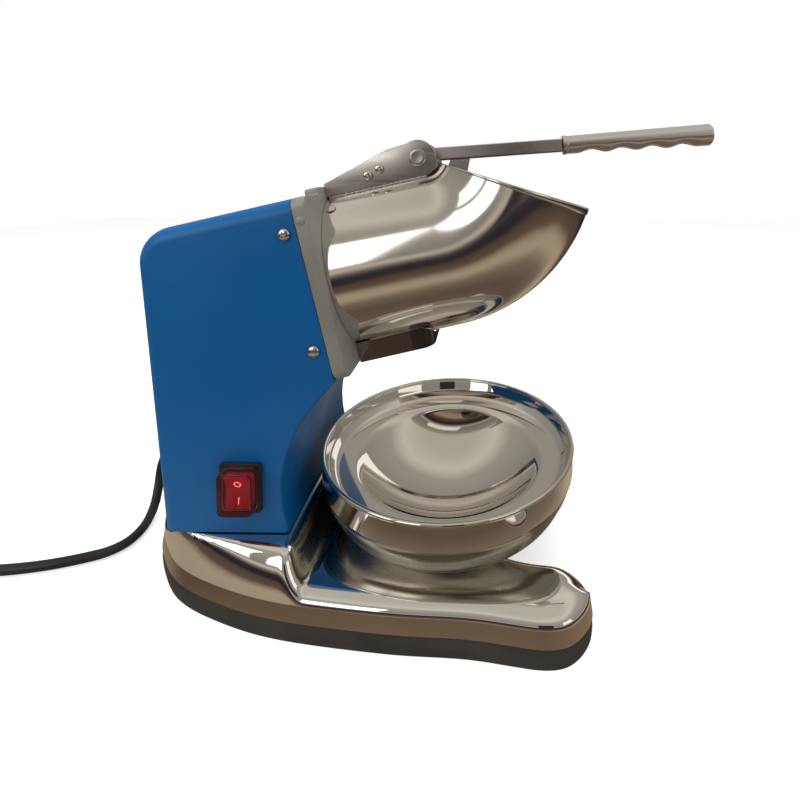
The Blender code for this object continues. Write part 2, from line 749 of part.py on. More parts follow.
def make_front_casting():
    """Flange with a tab, a rear lip inside the housing, the ice cavity and its discharge."""
    half = HOUSING_HALF_WIDTH + FLANGE_PROUD
    r = FLANGE_CORNER
    tab = HOUSING_TOP_N + TAB_HEIGHT
    corners = [(half, HOUSING_TOP_N), (TAB_HALF_WIDTH, HOUSING_TOP_N), (TAB_HALF_WIDTH, tab),
               (-TAB_HALF_WIDTH, tab), (-TAB_HALF_WIDTH, HOUSING_TOP_N), (-half, HOUSING_TOP_N),
               (-half, FLANGE_BOTTOM_N), (half, FLANGE_BOTTOM_N)]
    radii = [r, 0.001, 0.003, 0.003, 0.001, r, r, r]
    outline = []
    for i, corner in enumerate(corners):
        outline += fillet(corners[i - 1], corner, corners[(i + 1) % len(corners)], radii[i], 3)

    flange = plate("front_casting", outline, -FLANGE_THICKNESS, 0.0, head_front, CAST)
    lip_half = HOUSING_HALF_WIDTH - HOUSING_SHEET - GAP
    lip_top = HOUSING_TOP_N - HOUSING_SHEET - GAP
    lip_bottom = FLANGE_BOTTOM_N + LIP_RISE
    block = bmesh.new()
    cutter_box(block, (-FLANGE_THICKNESS - LIP_DEPTH, -lip_half, lip_bottom),
               (-FLANGE_THICKNESS + PAST, lip_half, lip_top), HEAD)
    edges = [e for e in block.edges
             if abs((e.verts[0].co - e.verts[1].co).normalized().dot(ALONG_S)) > 0.99]
    bmesh.ops.bevel(block, geom=edges, offset=HOUSING_EDGE_RADIUS, segments=3, profile=0.5, affect="EDGES")
    boolean(flange, add_object("front_casting_lip", block, CAST), "UNION")
    tools = bmesh.new()
    cutter_box(tools, (-FLANGE_THICKNESS - LIP_DEPTH - PAST, -lip_half + LIP_WALL, lip_bottom + LIP_WALL),
               (-CAVITY_DEPTH - CAVITY_FLOOR, lip_half - LIP_WALL, lip_top - LIP_WALL), HEAD)
    cut(flange, tools, "recess")
    cavity = bmesh.new()
    along = HEAD @ TURN_TO_S
    cutter_rod(cavity, along, CAVITY_RADIUS, -CAVITY_DEPTH, PAST, sides=40)
    cut(flange, cavity, "cavity")
    chute = bmesh.new()
    cutter_box(chute, (-CAVITY_DEPTH, -DISCHARGE_HALF_WIDTH, FLANGE_BOTTOM_N - PAST),
               (PAST, DISCHARGE_HALF_WIDTH, -DISCHARGE_TOP), HEAD)
    cut(flange, chute, "chute")
    bores = bmesh.new()
    cutter_rod(bores, along, SHOULDER_RADIUS + 2 * GAP, -CAVITY_DEPTH - CAVITY_FLOOR - PAST,
               -CAVITY_DEPTH + PAST)
    for frame in screw_frames():
        cutter_rod(bores, frame, SCREW_SHANK + GAP, -HOUSING_SHEET - LIP_WALL - PAST, PAST)
    cut(flange, bores, "bores")


# Drum

def drum_ring(distance, radius):
    """Ring of the drum at a distance along its centreline, straight and then round the elbow."""
    ring = []
    for k in range(DRUM_SIDES):
        angle = 2 * math.pi * (k + 0.5) / DRUM_SIDES
        y, n = radius * math.cos(angle), radius * math.sin(angle)
        if distance <= DRUM_LENGTH:
            ring.append(head_point(distance, y, n))
            continue
        turn = (distance - DRUM_LENGTH) / ELBOW_RADIUS
        arm = ELBOW_RADIUS - n
        ring.append(head_point(DRUM_LENGTH + arm * math.sin(turn), y, DRUM_END_N - arm * math.cos(turn)))
    return ring


def make_drum():
    """Drum with its elbow mouth and rolled rim, and two rivets."""
    end = DRUM_LENGTH + ELBOW_RADIUS * ELBOW_ANGLE
    stations = [GAP, DRUM_LENGTH]
    steps = 7
    bend = end - RIM_BEAD_LENGTH - DRUM_LENGTH
    stations += [DRUM_LENGTH + bend * k / steps for k in range(1, steps + 1)]
    outer = [drum_ring(d, DRUM_RADIUS) for d in stations]
    outer.append(drum_ring(end - 0.7 * RIM_BEAD_LENGTH, DRUM_RADIUS + RIM_BEAD))
    outer.append(drum_ring(end, DRUM_RADIUS + RIM_BEAD))
    inner = [drum_ring(d, DRUM_RADIUS - DRUM_WALL) for d in stations + [end]]
    lofted("drum", outer + inner[::-1], CHROME, closed=True)
    for k, side in enumerate((-1, 1)):
        out = Vector((0, side * math.sin(RIVET_ANGLE), math.cos(RIVET_ANGLE)))
        place = HEAD @ (Vector((RIVET_S, 0, 0)) + out * (DRUM_RADIUS + GAP))
        profile = [(0.0, 0.0), (RIVET_RADIUS, 0.0), (RIVET_RADIUS * 0.8, 0.0009), (0.0, 0.0014)]
        turned("drum_rivet_%d" % (k + 1), profile, axis_frame(place, HEAD.to_3x3() @ out), STEEL, sides=12)


def make_guard():
    """Open-bottomed guard under the drum whose top follows the drum."""
    path = [(GAP, -GUARD_HALF_WIDTH)]
    path += fillet((GAP, -GUARD_HALF_WIDTH), (GUARD_LENGTH, -GUARD_HALF_WIDTH), (GUARD_LENGTH, 0.0),
                   GUARD_CORNER, 5)
    straight = GUARD_HALF_WIDTH - GUARD_CORNER
    path += [(GUARD_LENGTH, -straight * (1 - k / 4)) for k in range(1, 5)]
    path += [(s, -y) for s, y in reversed(path[:-1])]
    path = [Vector(p) for p in path]
    rings = []
    for i, point in enumerate(path):
        along = (path[min(i + 1, len(path) - 1)] - path[max(i - 1, 0)]).normalized()
        inward = Vector((-along.y, along.x))
        ring = []
        for spot, low in ((point, False), (point + inward * GUARD_SHEET, False),
                          (point + inward * GUARD_SHEET, True), (point, True)):
            clear = DRUM_RADIUS + 2 * GAP
            top = -math.sqrt(clear ** 2 - min(abs(point.y), abs(spot.y)) ** 2) - GAP
            ring.append(head_point(spot.x, spot.y, FLANGE_BOTTOM_N - GUARD_DROP if low else top))
        rings.append(ring)
    lofted("spout_guard", rings, CHROME)


# Bracket

def bracket_outline():
    """Side view of a bracket plate: sloping top, step, round end, straight front and lower edges."""
    base_n = math.sqrt((DRUM_RADIUS + GAP) ** 2 - (BRACKET_HALF_WIDTH - BRACKET_SHEET) ** 2) + GAP
    reach = PIVOT_S + BRACKET_END_RADIUS
    arc = []
    start = math.radians(115)
    for k in range(9):
        angle = start * (1 - k / 8)
        arc.append((PIVOT_S + BRACKET_END_RADIUS * math.cos(angle),
                    PIVOT_N + BRACKET_END_RADIUS * math.sin(angle)))
    front = min(reach, DRUM_LENGTH + 0.002)
    return [(front, base_n), (GAP, base_n), (GAP, BRACKET_REAR_N), (BRACKET_STEP_S, BRACKET_STEP_N)] + arc + \
        [(reach, base_n + 0.004)]


def bracket_screw_holes(holes):
    """Add the bracket screws' holes to a cutter."""
    for s, n in BRACKET_SCREWS:
        frame = axis_frame(head_point(s, 0, n), (0, 1, 0))
        cutter_rod(holes, frame, SCREW_SHANK + GAP, -BRACKET_HALF_WIDTH - PAST, BRACKET_HALF_WIDTH + PAST)


def make_bracket():
    """Two side plates, the channel between them, four screws and the pivot pin."""
    inner = BRACKET_HALF_WIDTH - BRACKET_SHEET
    outline = bracket_outline()
    pin_frame = axis_frame(head_point(PIVOT_S, 0, PIVOT_N), (0, 1, 0))
    for name, side in (("bracket_side_near", -1), ("bracket_side_far", 1)):
        low, high = sorted((side * inner, side * BRACKET_HALF_WIDTH))
        sheet = plate(name, outline, low, high, head_side, STEEL)
        holes = bmesh.new()
        cutter_rod(holes, pin_frame, PIN_RADIUS + GAP, -BRACKET_HALF_WIDTH - PAST,
                   BRACKET_HALF_WIDTH + PAST)
        bracket_screw_holes(holes)
        cut(sheet, holes, "holes")
    half = inner - GAP
    slope = (BRACKET_STEP_N - BRACKET_REAR_N) / BRACKET_STEP_S

    def channel(s):
        top = BRACKET_REAR_N + slope * s - 0.0005
        low = max(top - BRIDGE_SIDE_DEPTH, DRUM_RADIUS + 0.0012)
        wall = 0.003
        section = [(-half, low), (-half, top), (half, top), (half, low), (half - wall, low),
                   (half - wall, top - wall), (-half + wall, top - wall), (-half + wall, low)]
        return [head_point(s, y, n) for y, n in section]

    bridge = lofted("bracket_bridge", [channel(s) for s in (2 * GAP, 0.016, BRACKET_STEP_S - 0.0005)], STEEL)
    holes = bmesh.new()
    bracket_screw_holes(holes)
    cut(bridge, holes, "holes")
    count = 0
    for side in (-1, 1):
        for s, n in BRACKET_SCREWS:
            count += 1
            frame = axis_frame(head_point(s, side * BRACKET_HALF_WIDTH, n), (0, side, 0))
            make_screw("bracket_screw_%d" % count, frame, BRACKET_SCREW_HEAD, BRACKET_SHEET + 0.0025)
    reach = BRACKET_HALF_WIDTH + GAP
    dome = 0.35 * PIN_HEAD
    profile = [(0.0, -reach - PIN_HEAD), (0.7 * PIN_HEAD_RADIUS, -reach - PIN_HEAD),
               (PIN_HEAD_RADIUS, -reach - PIN_HEAD + dome), (PIN_HEAD_RADIUS, -reach), (PIN_RADIUS, -reach),
               (PIN_RADIUS, reach), (PIN_HEAD_RADIUS, reach), (PIN_HEAD_RADIUS, reach + PIN_HEAD - dome),
               (0.7 * PIN_HEAD_RADIUS, reach + PIN_HEAD), (0.0, reach + PIN_HEAD)]
    turned("pivot_pin", profile, pin_frame, STEEL, sides=24)


# Lever

def lever_frame():
    """Frame at the pivot with X along the lever bar."""
    return Matrix.Translation(head_point(PIVOT_S, 0, PIVOT_N)) @ Matrix.Rotation(-LEVER_RISE, 4, "Y")


def bar_ring(x, half, rounding, frame, sides=16):
    """Cross-section of the bar: square with eased corners, or round when the rounding is 1."""
    ring = []
    for k in range(sides):
        angle = 2 * math.pi * (k + 0.5) / sides
        c, s = math.cos(angle), math.sin(angle)
        radius = half * min(1 / max(abs(c), abs(s)), 1 + 0.3 * (1 - rounding))
        ring.append(frame @ Vector((x, radius * c, radius * s)))
    return ring


def make_lever():
    """Hub, square bar with a round tang, and the waved grip over the tang."""
    frame = lever_frame()
    half = BRACKET_HALF_WIDTH - BRACKET_SHEET - 2 * GAP
    bore = PIN_RADIUS + GAP
    hub = [(bore, -half), (HUB_RADIUS, -half), (HUB_RADIUS, half), (bore, half)]
    turned("lever_hub", hub, axis_frame(frame.translation, (0, 1, 0)), STEEL, sides=32, loop=True)
    frame = frame @ Matrix.Translation((0, 0, BAR_RAISE))
    start = HUB_RADIUS + GAP
    grip_end = (GRIP_END_X - frame.translation.x) / math.cos(LEVER_RISE)
    rings = [bar_ring(x, BAR_WIDTH / 2, 0.0, frame) for x in (start, BAR_END)]
    rings += [bar_ring(x, TANG_RADIUS, 1.0, frame) for x in (BAR_END + GAP / 3, grip_end - GRIP_CAP)]
    lofted("lever_bar", rings, STEEL, smooth=30)
    span = grip_end - GRIP_START
    bore = TANG_RADIUS + GAP

    def outer(x):
        t = (x - GRIP_START) / span
        return GRIP_RADIUS + (GRIP_END_RADIUS - GRIP_RADIUS) * t

    collar = outer(GRIP_START) + GRIP_COLLAR
    profile = [(bore, GRIP_START), (collar, GRIP_START), (collar, GRIP_START + GRIP_COLLAR_LENGTH)]
    steps = 16
    for k in range(steps + 1):
        x = GRIP_START + 1.3 * GRIP_COLLAR_LENGTH + (span - GRIP_CAP) * k / steps
        profile.append((outer(x), x))
    profile += [(0.8 * GRIP_END_RADIUS, grip_end - 0.23 * GRIP_END_RADIUS),
                (0.5 * GRIP_END_RADIUS, grip_end - 0.064 * GRIP_END_RADIUS),
                (0.0, grip_end), (0.0, grip_end - GRIP_CAP + GAP), (bore, grip_end - GRIP_CAP + GAP)]
    waves = (span - 2 * GRIP_CAP) / FINGER_VALLEYS

    def finger(radius, x, angle):
        under = max(0.0, -math.sin(angle)) ** 2
        t = (x - GRIP_START - GRIP_CAP) / waves
        inside = 0.0 < t < FINGER_VALLEYS and radius > bore
        return radius - FINGER_DEPTH * under * (1 - math.cos(2 * math.pi * t)) * inside

    along = frame @ Matrix.Rotation(math.pi / 2, 4, "Y") @ Matrix.Rotation(math.pi / 2, 4, "Z")
    turned("lever_grip", profile, along, STEEL, sides=24, loop=True, radius_at=finger)


def make_pusher():
    """Arm under the bar, through the mouth, and the round plate that presses the ice."""
    drop = LEVER_RISE - TILT
    under = Vector((math.sin(-drop), -math.cos(drop))) * (BAR_WIDTH / 2 + GAP - BAR_RAISE)
    pivot = Vector((PIVOT_S, PIVOT_N))
    along = Vector((math.cos(drop), math.sin(drop)))
    rear = pivot + along * ARM_REAR + under
    front = pivot + along * ARM_FRONT + under
    back = PUSHER_S + PUSHER_THICKNESS + GAP
    upper = curve_through([rear] + ARM_TOP + [(back, PUSHER_N + ARM_FOOT_UP)], 3)
    lower = curve_through([(back, PUSHER_N - ARM_FOOT_DOWN)] + ARM_BOTTOM + [front], 3)
    outline = [tuple(p) for p in upper + lower]
    plate("pusher_arm", outline, -ARM_HALF_WIDTH, ARM_HALF_WIDTH, head_side, STEEL)
    centre = HEAD @ Matrix.Translation((PUSHER_S, 0, PUSHER_N)) @ TURN_TO_S
    edge = 0.0006
    profile = [(0.0, 0.0), (PUSHER_RADIUS - edge, 0.0), (PUSHER_RADIUS, edge),
               (PUSHER_RADIUS, PUSHER_THICKNESS - edge), (PUSHER_RADIUS - edge, PUSHER_THICKNESS),
               (0.0, PUSHER_THICKNESS)]
    turned("pusher_plate", profile, centre, STEEL, sides=40)


# Motor and blades

def make_motor():
    """Bells, case, stator, rotor, bearings, shaft and fan, all on the drum's axis."""
    along = HEAD @ TURN_TO_S
    inner = MOTOR_RADIUS - MOTOR_WALL
    seat = BEARING_RADIUS + GAP
    hub = seat + BELL_HUB_WALL

    def bell(name, face, step):
        web = face + step * BELL_WEB
        lip = face + step * BELL_LIP
        deep = face + step * (BELL_LIP + BEARING_WIDTH + 2 * GAP)
        rim = face + step * BELL_DEPTH
        eye = SHAFT_RADIUS + 0.5 * SHAFT_RADIUS
        profile = [(eye, face), (MOTOR_RADIUS, face), (MOTOR_RADIUS, rim), (inner, rim), (inner, web),
                   (hub, web), (hub, deep), (seat, deep), (seat, lip), (eye, lip)]
        turned(name, profile, along, CAST, sides=24, loop=True)
        low, high = sorted((lip + step * GAP, lip + step * (GAP + BEARING_WIDTH)))
        bore = SHAFT_RADIUS + GAP
        ring = [(bore, low), (BEARING_RADIUS, low), (BEARING_RADIUS, high), (bore, high)]
        return ring

    case_front = BELL_FRONT - BELL_DEPTH - GAP
    case_rear = case_front - CASE_LENGTH
    ring = bell("front_bell", BELL_FRONT, -1)
    turned("bearing_front", ring, along, STEEL, sides=24, loop=True)
    ring = bell("rear_bell", case_rear - GAP - BELL_DEPTH, 1)
    turned("bearing_rear", ring, along, STEEL, sides=24, loop=True)
    turned("motor_case", [(inner, case_rear), (MOTOR_RADIUS, case_rear), (MOTOR_RADIUS, case_front),
                          (inner, case_front)], along, STEEL, loop=True)
    middle = (case_front + case_rear) / 2
    half = ROTOR_LENGTH / 2 + STATOR_OVERHANG
    ring = [(STATOR_BORE, middle - half), (inner - GAP, middle - half), (inner - GAP, middle + half),
            (STATOR_BORE, middle + half)]
    turned("stator_core", ring, along, COPPER, loop=True)
    half = ROTOR_LENGTH / 2
    bore = SHAFT_RADIUS + GAP
    turned("rotor", [(bore, middle - half), (ROTOR_RADIUS, middle - half), (ROTOR_RADIUS, middle + half),
                     (bore, middle + half)], along, COPPER, loop=True)
    turned("motor_shaft", [(0.0, SHAFT_REAR), (SHAFT_RADIUS, SHAFT_REAR), (SHAFT_RADIUS, -SHOULDER_DEPTH),
                           (SHOULDER_RADIUS, -SHOULDER_DEPTH), (SHOULDER_RADIUS, DISC_REAR - GAP),
                           (SHAFT_RADIUS, DISC_REAR - GAP), (SHAFT_RADIUS, SHAFT_FRONT), (0.0, SHAFT_FRONT)],
           along, STEEL, sides=24)
    outline = []
    for k in range(FAN_BLADES):
        for share, radius in ((0.0, FAN_HUB_RADIUS), (0.30, FAN_HUB_RADIUS), (0.36, FAN_RADIUS),
                              (0.82, FAN_RADIUS), (0.94, FAN_HUB_RADIUS)):
            angle = 2 * math.pi * (k + share) / FAN_BLADES
            outline.append((radius * math.cos(angle), radius * math.sin(angle)))
    fan = plate("cooling_fan", outline, FAN_REAR, FAN_REAR + FAN_THICKNESS, head_front, BLACK)
    hole = bmesh.new()
    cutter_rod(hole, along, bore, FAN_REAR - PAST, FAN_REAR + FAN_THICKNESS + PAST)
    cut(fan, hole, "bore")


def make_blades():
    """Slotted blade disc, two blades over the slots and the nut that holds the disc."""
    along = HEAD @ TURN_TO_S
    bore = SHAFT_RADIUS + GAP
    face = DISC_REAR + DISC_THICKNESS
    ring = [(bore, DISC_REAR), (DISC_RADIUS, DISC_REAR), (DISC_RADIUS, face), (bore, face)]
    disc = turned("blade_disc", ring, along, STEEL, sides=40, loop=True)
    slots = bmesh.new()
    for k in range(2):
        turn = HEAD @ Matrix.Rotation(math.pi * k, 4, "X")
        reach = BLADE_LENGTH / 2 - SLOT_MARGIN
        cutter_box(slots, (DISC_REAR - PAST, BLADE_WIDTH / 2 - SLOT_WIDTH / 3, BLADE_RADIUS - reach),
                   (face + PAST, BLADE_WIDTH / 2 + 2 * SLOT_WIDTH / 3, BLADE_RADIUS + reach), turn)
    cut(disc, slots, "slots")
    for k in range(2):
        turn = HEAD @ Matrix.Rotation(math.pi * k, 4, "X")
        low, high = BLADE_RADIUS - BLADE_LENGTH / 2, BLADE_RADIUS + BLADE_LENGTH / 2
        base = face + GAP
        rings = []
        for n in (low, high):
            section = [(base, -BLADE_WIDTH / 2), (base, BLADE_WIDTH / 2),
                       (base + BLADE_THICKNESS, BLADE_WIDTH / 2 - 2 * BLADE_THICKNESS),
                       (base + BLADE_THICKNESS, -BLADE_WIDTH / 2)]
            rings.append([turn @ Vector((s, y, n)) for s, y in section])
        lofted("blade_%d" % (k + 1), rings, STEEL)
    low = face + GAP
    corners = [k * math.pi / 3 for k in range(6)]
    outline = [(NUT_RADIUS * math.cos(angle), NUT_RADIUS * math.sin(angle)) for angle in corners]
    nut = plate("disc_nut", outline, low, low + NUT_HEIGHT, head_front, STEEL, smooth=20)
    hole = bmesh.new()
    cutter_rod(hole, along, bore, low - PAST, low + NUT_HEIGHT + PAST)
    cut(nut, hole, "bore")


# Switch and wiring

def make_switch():
    """Bezel and body, a rocker in its well and the clear cover over it."""
    wall = -HOUSING_HALF_WIDTH
    face = wall - GAP - BEZEL_THICKNESS

    def panel(u, v, w):
        return Vector((SWITCH_X + u, w, SWITCH_Z + v))

    bezel = rounded_rectangle(BEZEL_WIDTH, BEZEL_HEIGHT, BEZEL_THICKNESS)
    body = plate("switch_body", bezel, face, wall - GAP, panel, BLACK)
    block = bmesh.new()
    half_w, half_h = SWITCH_BODY_WIDTH / 2, SWITCH_BODY_HEIGHT / 2
    cutter_box(block, (SWITCH_X - half_w, wall - GAP - 0.001, SWITCH_Z - half_h),
               (SWITCH_X + half_w, wall + SWITCH_BODY_DEPTH, SWITCH_Z + half_h))
    boolean(body, add_object("switch_body_block", block, BLACK), "UNION")
    well = bmesh.new()
    half_w -= WELL_MARGIN
    half_h -= WELL_MARGIN
    cutter_box(well, (SWITCH_X - half_w, face - 0.001, SWITCH_Z - half_h),
               (SWITCH_X + half_w, face + WELL_DEPTH, SWITCH_Z + half_h))
    cut(body, well, "well")

    axis_y = face + 0.0025
    tilt = Matrix.Translation((SWITCH_X, axis_y, SWITCH_Z)) @ Matrix.Rotation(ROCKER_TILT, 4, "X")
    half = ROCKER_LENGTH / 2
    section = [(0.0035, -0.55 * half), (0.0035, 0.55 * half), (-0.0015, half), (-0.0058, half),
               (-0.0042, 0.0), (-0.0058, -half), (-0.0015, -half)]
    rings = [[tilt @ Vector((x, y, z)) for y, z in section] for x in (-ROCKER_WIDTH / 2, ROCKER_WIDTH / 2)]
    lofted("switch_rocker", rings, RED, smooth=20)

    top = face - GAP - COVER_HEIGHT
    outer = rounded_rectangle(COVER_WIDTH, COVER_LENGTH, 0.0035)
    crown = rounded_rectangle(COVER_WIDTH - 0.002, COVER_LENGTH - 0.002, 0.0030)
    inner = rounded_rectangle(COVER_WIDTH - 2 * COVER_WALL, COVER_LENGTH - 2 * COVER_WALL, 0.0028)
    base = face - GAP
    bm = bmesh.new()
    loops = [[bm.verts.new(panel(u, v, w)) for u, v in shape]
             for shape, w in ((inner, top + COVER_WALL), (inner, base), (outer, base), (outer, top + 0.001),
                              (crown, top))]
    for first, second in zip(loops, loops[1:]):
        strip(bm, first, second)
    bm.faces.new(loops[0])
    bm.faces.new(loops[-1])
    add_object("switch_cap", bm, CLEAR)


def make_terminal_block():
    """Terminal block on the pedestal inside the housing."""
    bm = bmesh.new()
    length, width, height = TERMINAL_SIZE
    low = PEDESTAL_HEIGHT + GAP
    cutter_box(bm, (TERMINAL_X - length / 2, TERMINAL_Y - width / 2, low),
               (TERMINAL_X + length / 2, TERMINAL_Y + width / 2, low + height))
    bmesh.ops.bevel(bm, geom=bm.edges[:], offset=0.001, segments=1, profile=0.5, affect="EDGES")
    add_object("terminal_block", bm, BLACK)


def tube(name, points, diameter, resolution, material):
    """Curve with a round section and filled caps."""
    curve = bpy.data.curves.new(name, "CURVE")
    curve.dimensions = "3D"
    curve.bevel_depth = diameter / 2
    curve.bevel_resolution = resolution
    curve.use_fill_caps = True
    spline = curve.splines.new("POLY")
    spline.points.add(len(points) - 1)
    for point, place in zip(spline.points, points):
        point.co = (*place, 1.0)
    curve.materials.append(material)
    item = bpy.data.objects.new(name, curve)
    bpy.context.scene.collection.objects.link(item)
    return item


def even_points(points, step):
    """Points about a step apart along a dense polyline, ends kept."""
    lengths = [0.0]
    for a, b in zip(points, points[1:]):
        lengths.append(lengths[-1] + (b - a).length)
    count = max(2, round(lengths[-1] / step))
    result = []
    i = 0
    for k in range(count + 1):
        target = lengths[-1] * k / count
        while i < len(points) - 2 and lengths[i + 1] < target:
            i += 1
        t = (target - lengths[i]) / (lengths[i + 1] - lengths[i])
        result.append(points[i].lerp(points[i + 1], min(1.0, t)))
    return result


def coil_points():
    """Two-layer coil: in along the floor layer, up during the half turn inside, and out on top."""
    low = COIL_LIFT + CORD_DIAMETER / 2
    spiral = COIL_TURNS * 2 * math.pi
    climb = math.pi
    total = 2 * spiral + climb
    start = math.pi / 2
    step = 2 * math.pi / COIL_POINTS
    count = round(total / step)
    points = []
    for k in range(count + 1):
        turn = total * k / count
        inward = max(0.0, spiral - turn)
        outward = max(0.0, turn - spiral - climb)
        rise = max(0.0, min(1.0, (turn - spiral) / climb))
        radius = COIL_INNER + COIL_PITCH * (inward + outward) / (2 * math.pi)
        radius -= COIL_DIP * math.sin(math.pi * rise)
        height = low + COIL_LAYER * smooth_step(rise)
        angle = start + turn
        points.append(Vector((COIL_X + radius * math.cos(angle), COIL_Y + radius * math.sin(angle), height)))
    return points


def coil_path():
    """The coil with a straight lead and a straight tail, and the way that the tail points."""
    points = coil_points()
    first = points[0]
    lead = [first + Vector((COIL_LEAD * k, 0, 0)) for k in (1.0, 0.75, 0.5, 0.25)]
    last = points[-1]
    direction = Vector((last.x - COIL_X, last.y - COIL_Y, 0)).normalized()
    onward = Vector((-direction.y, direction.x, 0))
    tail = [last + onward * COIL_TAIL * k for k in (0.35, 0.7, 1.0)]
    return lead + points + tail, onward


def least_gap(points, diameter):
    """Least clear distance of a tube to itself, measured between points a few diameters apart."""
    along = [0.0]
    for a, b in zip(points, points[1:]):
        along.append(along[-1] + (b - a).length)
    least = 1.0
    for i, a in enumerate(points):
        for j in range(i + 1, len(points) - 1):
            if along[j] - along[i] < 4 * diameter:
                continue
            b, c = points[j], points[j + 1]
            t = max(0.0, min(1.0, (a - b).dot(c - b) / (c - b).length_squared))
            least = min(least, (a - b - (c - b) * t).length - diameter)
    return least


def path_length(points):
    """Length of a polyline."""
    return sum((b - a).length for a, b in zip(points, points[1:]))


def make_cord():
    """Tapered gland, the lead along the floor, its coil with a tie, and the plug."""
    root_x = rear_x(GLAND_Z)
    gland_frame = axis_frame((root_x, GLAND_Y, GLAND_Z), (-1, 0, -0.04))
    bore = CORD_DIAMETER / 2 + GLAND_BORE_GAP
    collar = GLAND_ROOT + GLAND_COLLAR
    profile = [(bore, -GLAND_DEPTH), (GLAND_TIP + GAP, -GLAND_DEPTH), (GLAND_TIP + GAP, GAP), (collar, GAP),
               (collar, 1.5 * GLAND_COLLAR), (GLAND_ROOT, 2 * GLAND_COLLAR), (GLAND_TIP, GLAND_LENGTH),
               (bore, GLAND_LENGTH)]
    turned("cord_gland", profile, gland_frame, BLACK, sides=20, loop=True)

    path, onward = coil_path()
    route = [Vector(p) for p in CORD_ROUTE]
    join = path[0]
    route.append(join + Vector((GAP, 0, 0)))
    smooth = curve_through(route, 8)
    lead = even_points(smooth, CORD_POINT_STEP)
    lead[-2] = lead[-1] + Vector((1.5 * CORD_DIAMETER, 0, 0))
    tube("cord", lead, CORD_DIAMETER, 3, BLACK)
    tube("cord_coil", path, CORD_DIAMETER, 1, BLACK)
    gap = least_gap(path, CORD_DIAMETER)
    print("least gap of the coil to itself: %.2f mm" % (gap * 1000))
    print("lead %.3f m, coil %.3f m" % (path_length(lead), path_length(path)))

    middle = COIL_INNER + COIL_PITCH * COIL_TURNS / 2
    width = COIL_PITCH * (COIL_TURNS + 0.5) + CORD_DIAMETER + 2 * TIE_SLACK
    height = COIL_LAYER + CORD_DIAMETER + 2 * GAP
    inner = rounded_rectangle(width, height, CORD_DIAMETER / 2)
    outer = rounded_rectangle(width + 2 * TIE_SHEET, height + 2 * TIE_SHEET, CORD_DIAMETER / 2 + TIE_SHEET)
    centre_z = COIL_LIFT + (COIL_LAYER + CORD_DIAMETER) / 2

    def around(u, v, w):
        return Vector((COIL_X + w, COIL_Y - middle - u, centre_z + v))

    bm = bmesh.new()
    loops = [[bm.verts.new(around(u, v, w)) for u, v in shape]
             for shape, w in ((inner, -TIE_WIDTH / 2), (outer, -TIE_WIDTH / 2), (outer, TIE_WIDTH / 2),
                              (inner, TIE_WIDTH / 2))]
    for first, second in zip(loops, loops[1:] + loops[:1]):
        strip(bm, first, second)
    add_object("cord_tie", bm, BLACK)

    start = path[-1] + onward * GAP
    plug_frame = axis_frame(start, onward)
    rings = []
    for share, width, height in ((0.0, PLUG_NECK, PLUG_NECK), (0.35, 1.18 * PLUG_NECK, 1.14 * PLUG_NECK),
                                 (0.5, PLUG_WIDTH, PLUG_HEIGHT), (1.0, PLUG_WIDTH, PLUG_HEIGHT)):
        shape = rounded_rectangle(width, height, 0.36 * PLUG_NECK)
        rings.append([plug_frame @ Vector((v, u, share * PLUG_LENGTH)) for u, v in shape])
    lofted("plug", rings, BLACK)
    for k, side in enumerate((-1, 1)):
        frame = plug_frame @ Matrix.Translation((0, side * PLUG_PIN_SPACING, PLUG_LENGTH + GAP))
        profile = [(0.0, 0.0), (PLUG_PIN_RADIUS, 0.0), (PLUG_PIN_RADIUS, PIN_LENGTH - 0.001),
                   (0.6 * PLUG_PIN_RADIUS, PIN_LENGTH), (0.0, PIN_LENGTH)]
        turned("plug_pin_%d" % (k + 1), profile, frame, BRASS, sides=12)


make_base()
make_bowl()
make_housing()
make_front_casting()
make_drum()
make_guard()
make_bracket()
make_lever()
make_pusher()
make_motor()
make_blades()
make_switch()
make_terminal_block()
make_cord()
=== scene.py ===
"""Looks of the electric ice shaver: fine surfaces, finishes, cord, studio and camera round the frame.

Metres, in the frame's own axes: +X is the front (lever grip), -Y the side with the switch, +Z up.
The head (drum, bracket, lever pivot) has its own frame: s runs along the drum, n points up from its axis.
"""
import math

import bmesh
import bpy
import numpy as np
from mathutils import Matrix, Vector
from mathutils.geometry import delaunay_2d_cdt


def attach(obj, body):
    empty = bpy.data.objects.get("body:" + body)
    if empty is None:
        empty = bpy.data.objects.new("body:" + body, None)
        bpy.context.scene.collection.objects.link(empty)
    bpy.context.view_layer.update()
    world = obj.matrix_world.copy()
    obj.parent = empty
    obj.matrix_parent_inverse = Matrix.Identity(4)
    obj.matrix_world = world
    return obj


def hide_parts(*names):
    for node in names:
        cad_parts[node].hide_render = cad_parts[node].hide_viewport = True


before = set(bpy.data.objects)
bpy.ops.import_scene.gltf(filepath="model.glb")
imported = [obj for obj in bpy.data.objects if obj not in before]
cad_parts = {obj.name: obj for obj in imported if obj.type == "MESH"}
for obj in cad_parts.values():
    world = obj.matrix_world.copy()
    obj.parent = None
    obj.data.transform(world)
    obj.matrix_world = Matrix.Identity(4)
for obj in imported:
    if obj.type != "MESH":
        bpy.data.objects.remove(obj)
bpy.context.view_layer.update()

# Clearance between pieces, and how far cutting shapes reach past a surface
GAP = 0.0003
CUT_MARGIN = 0.002

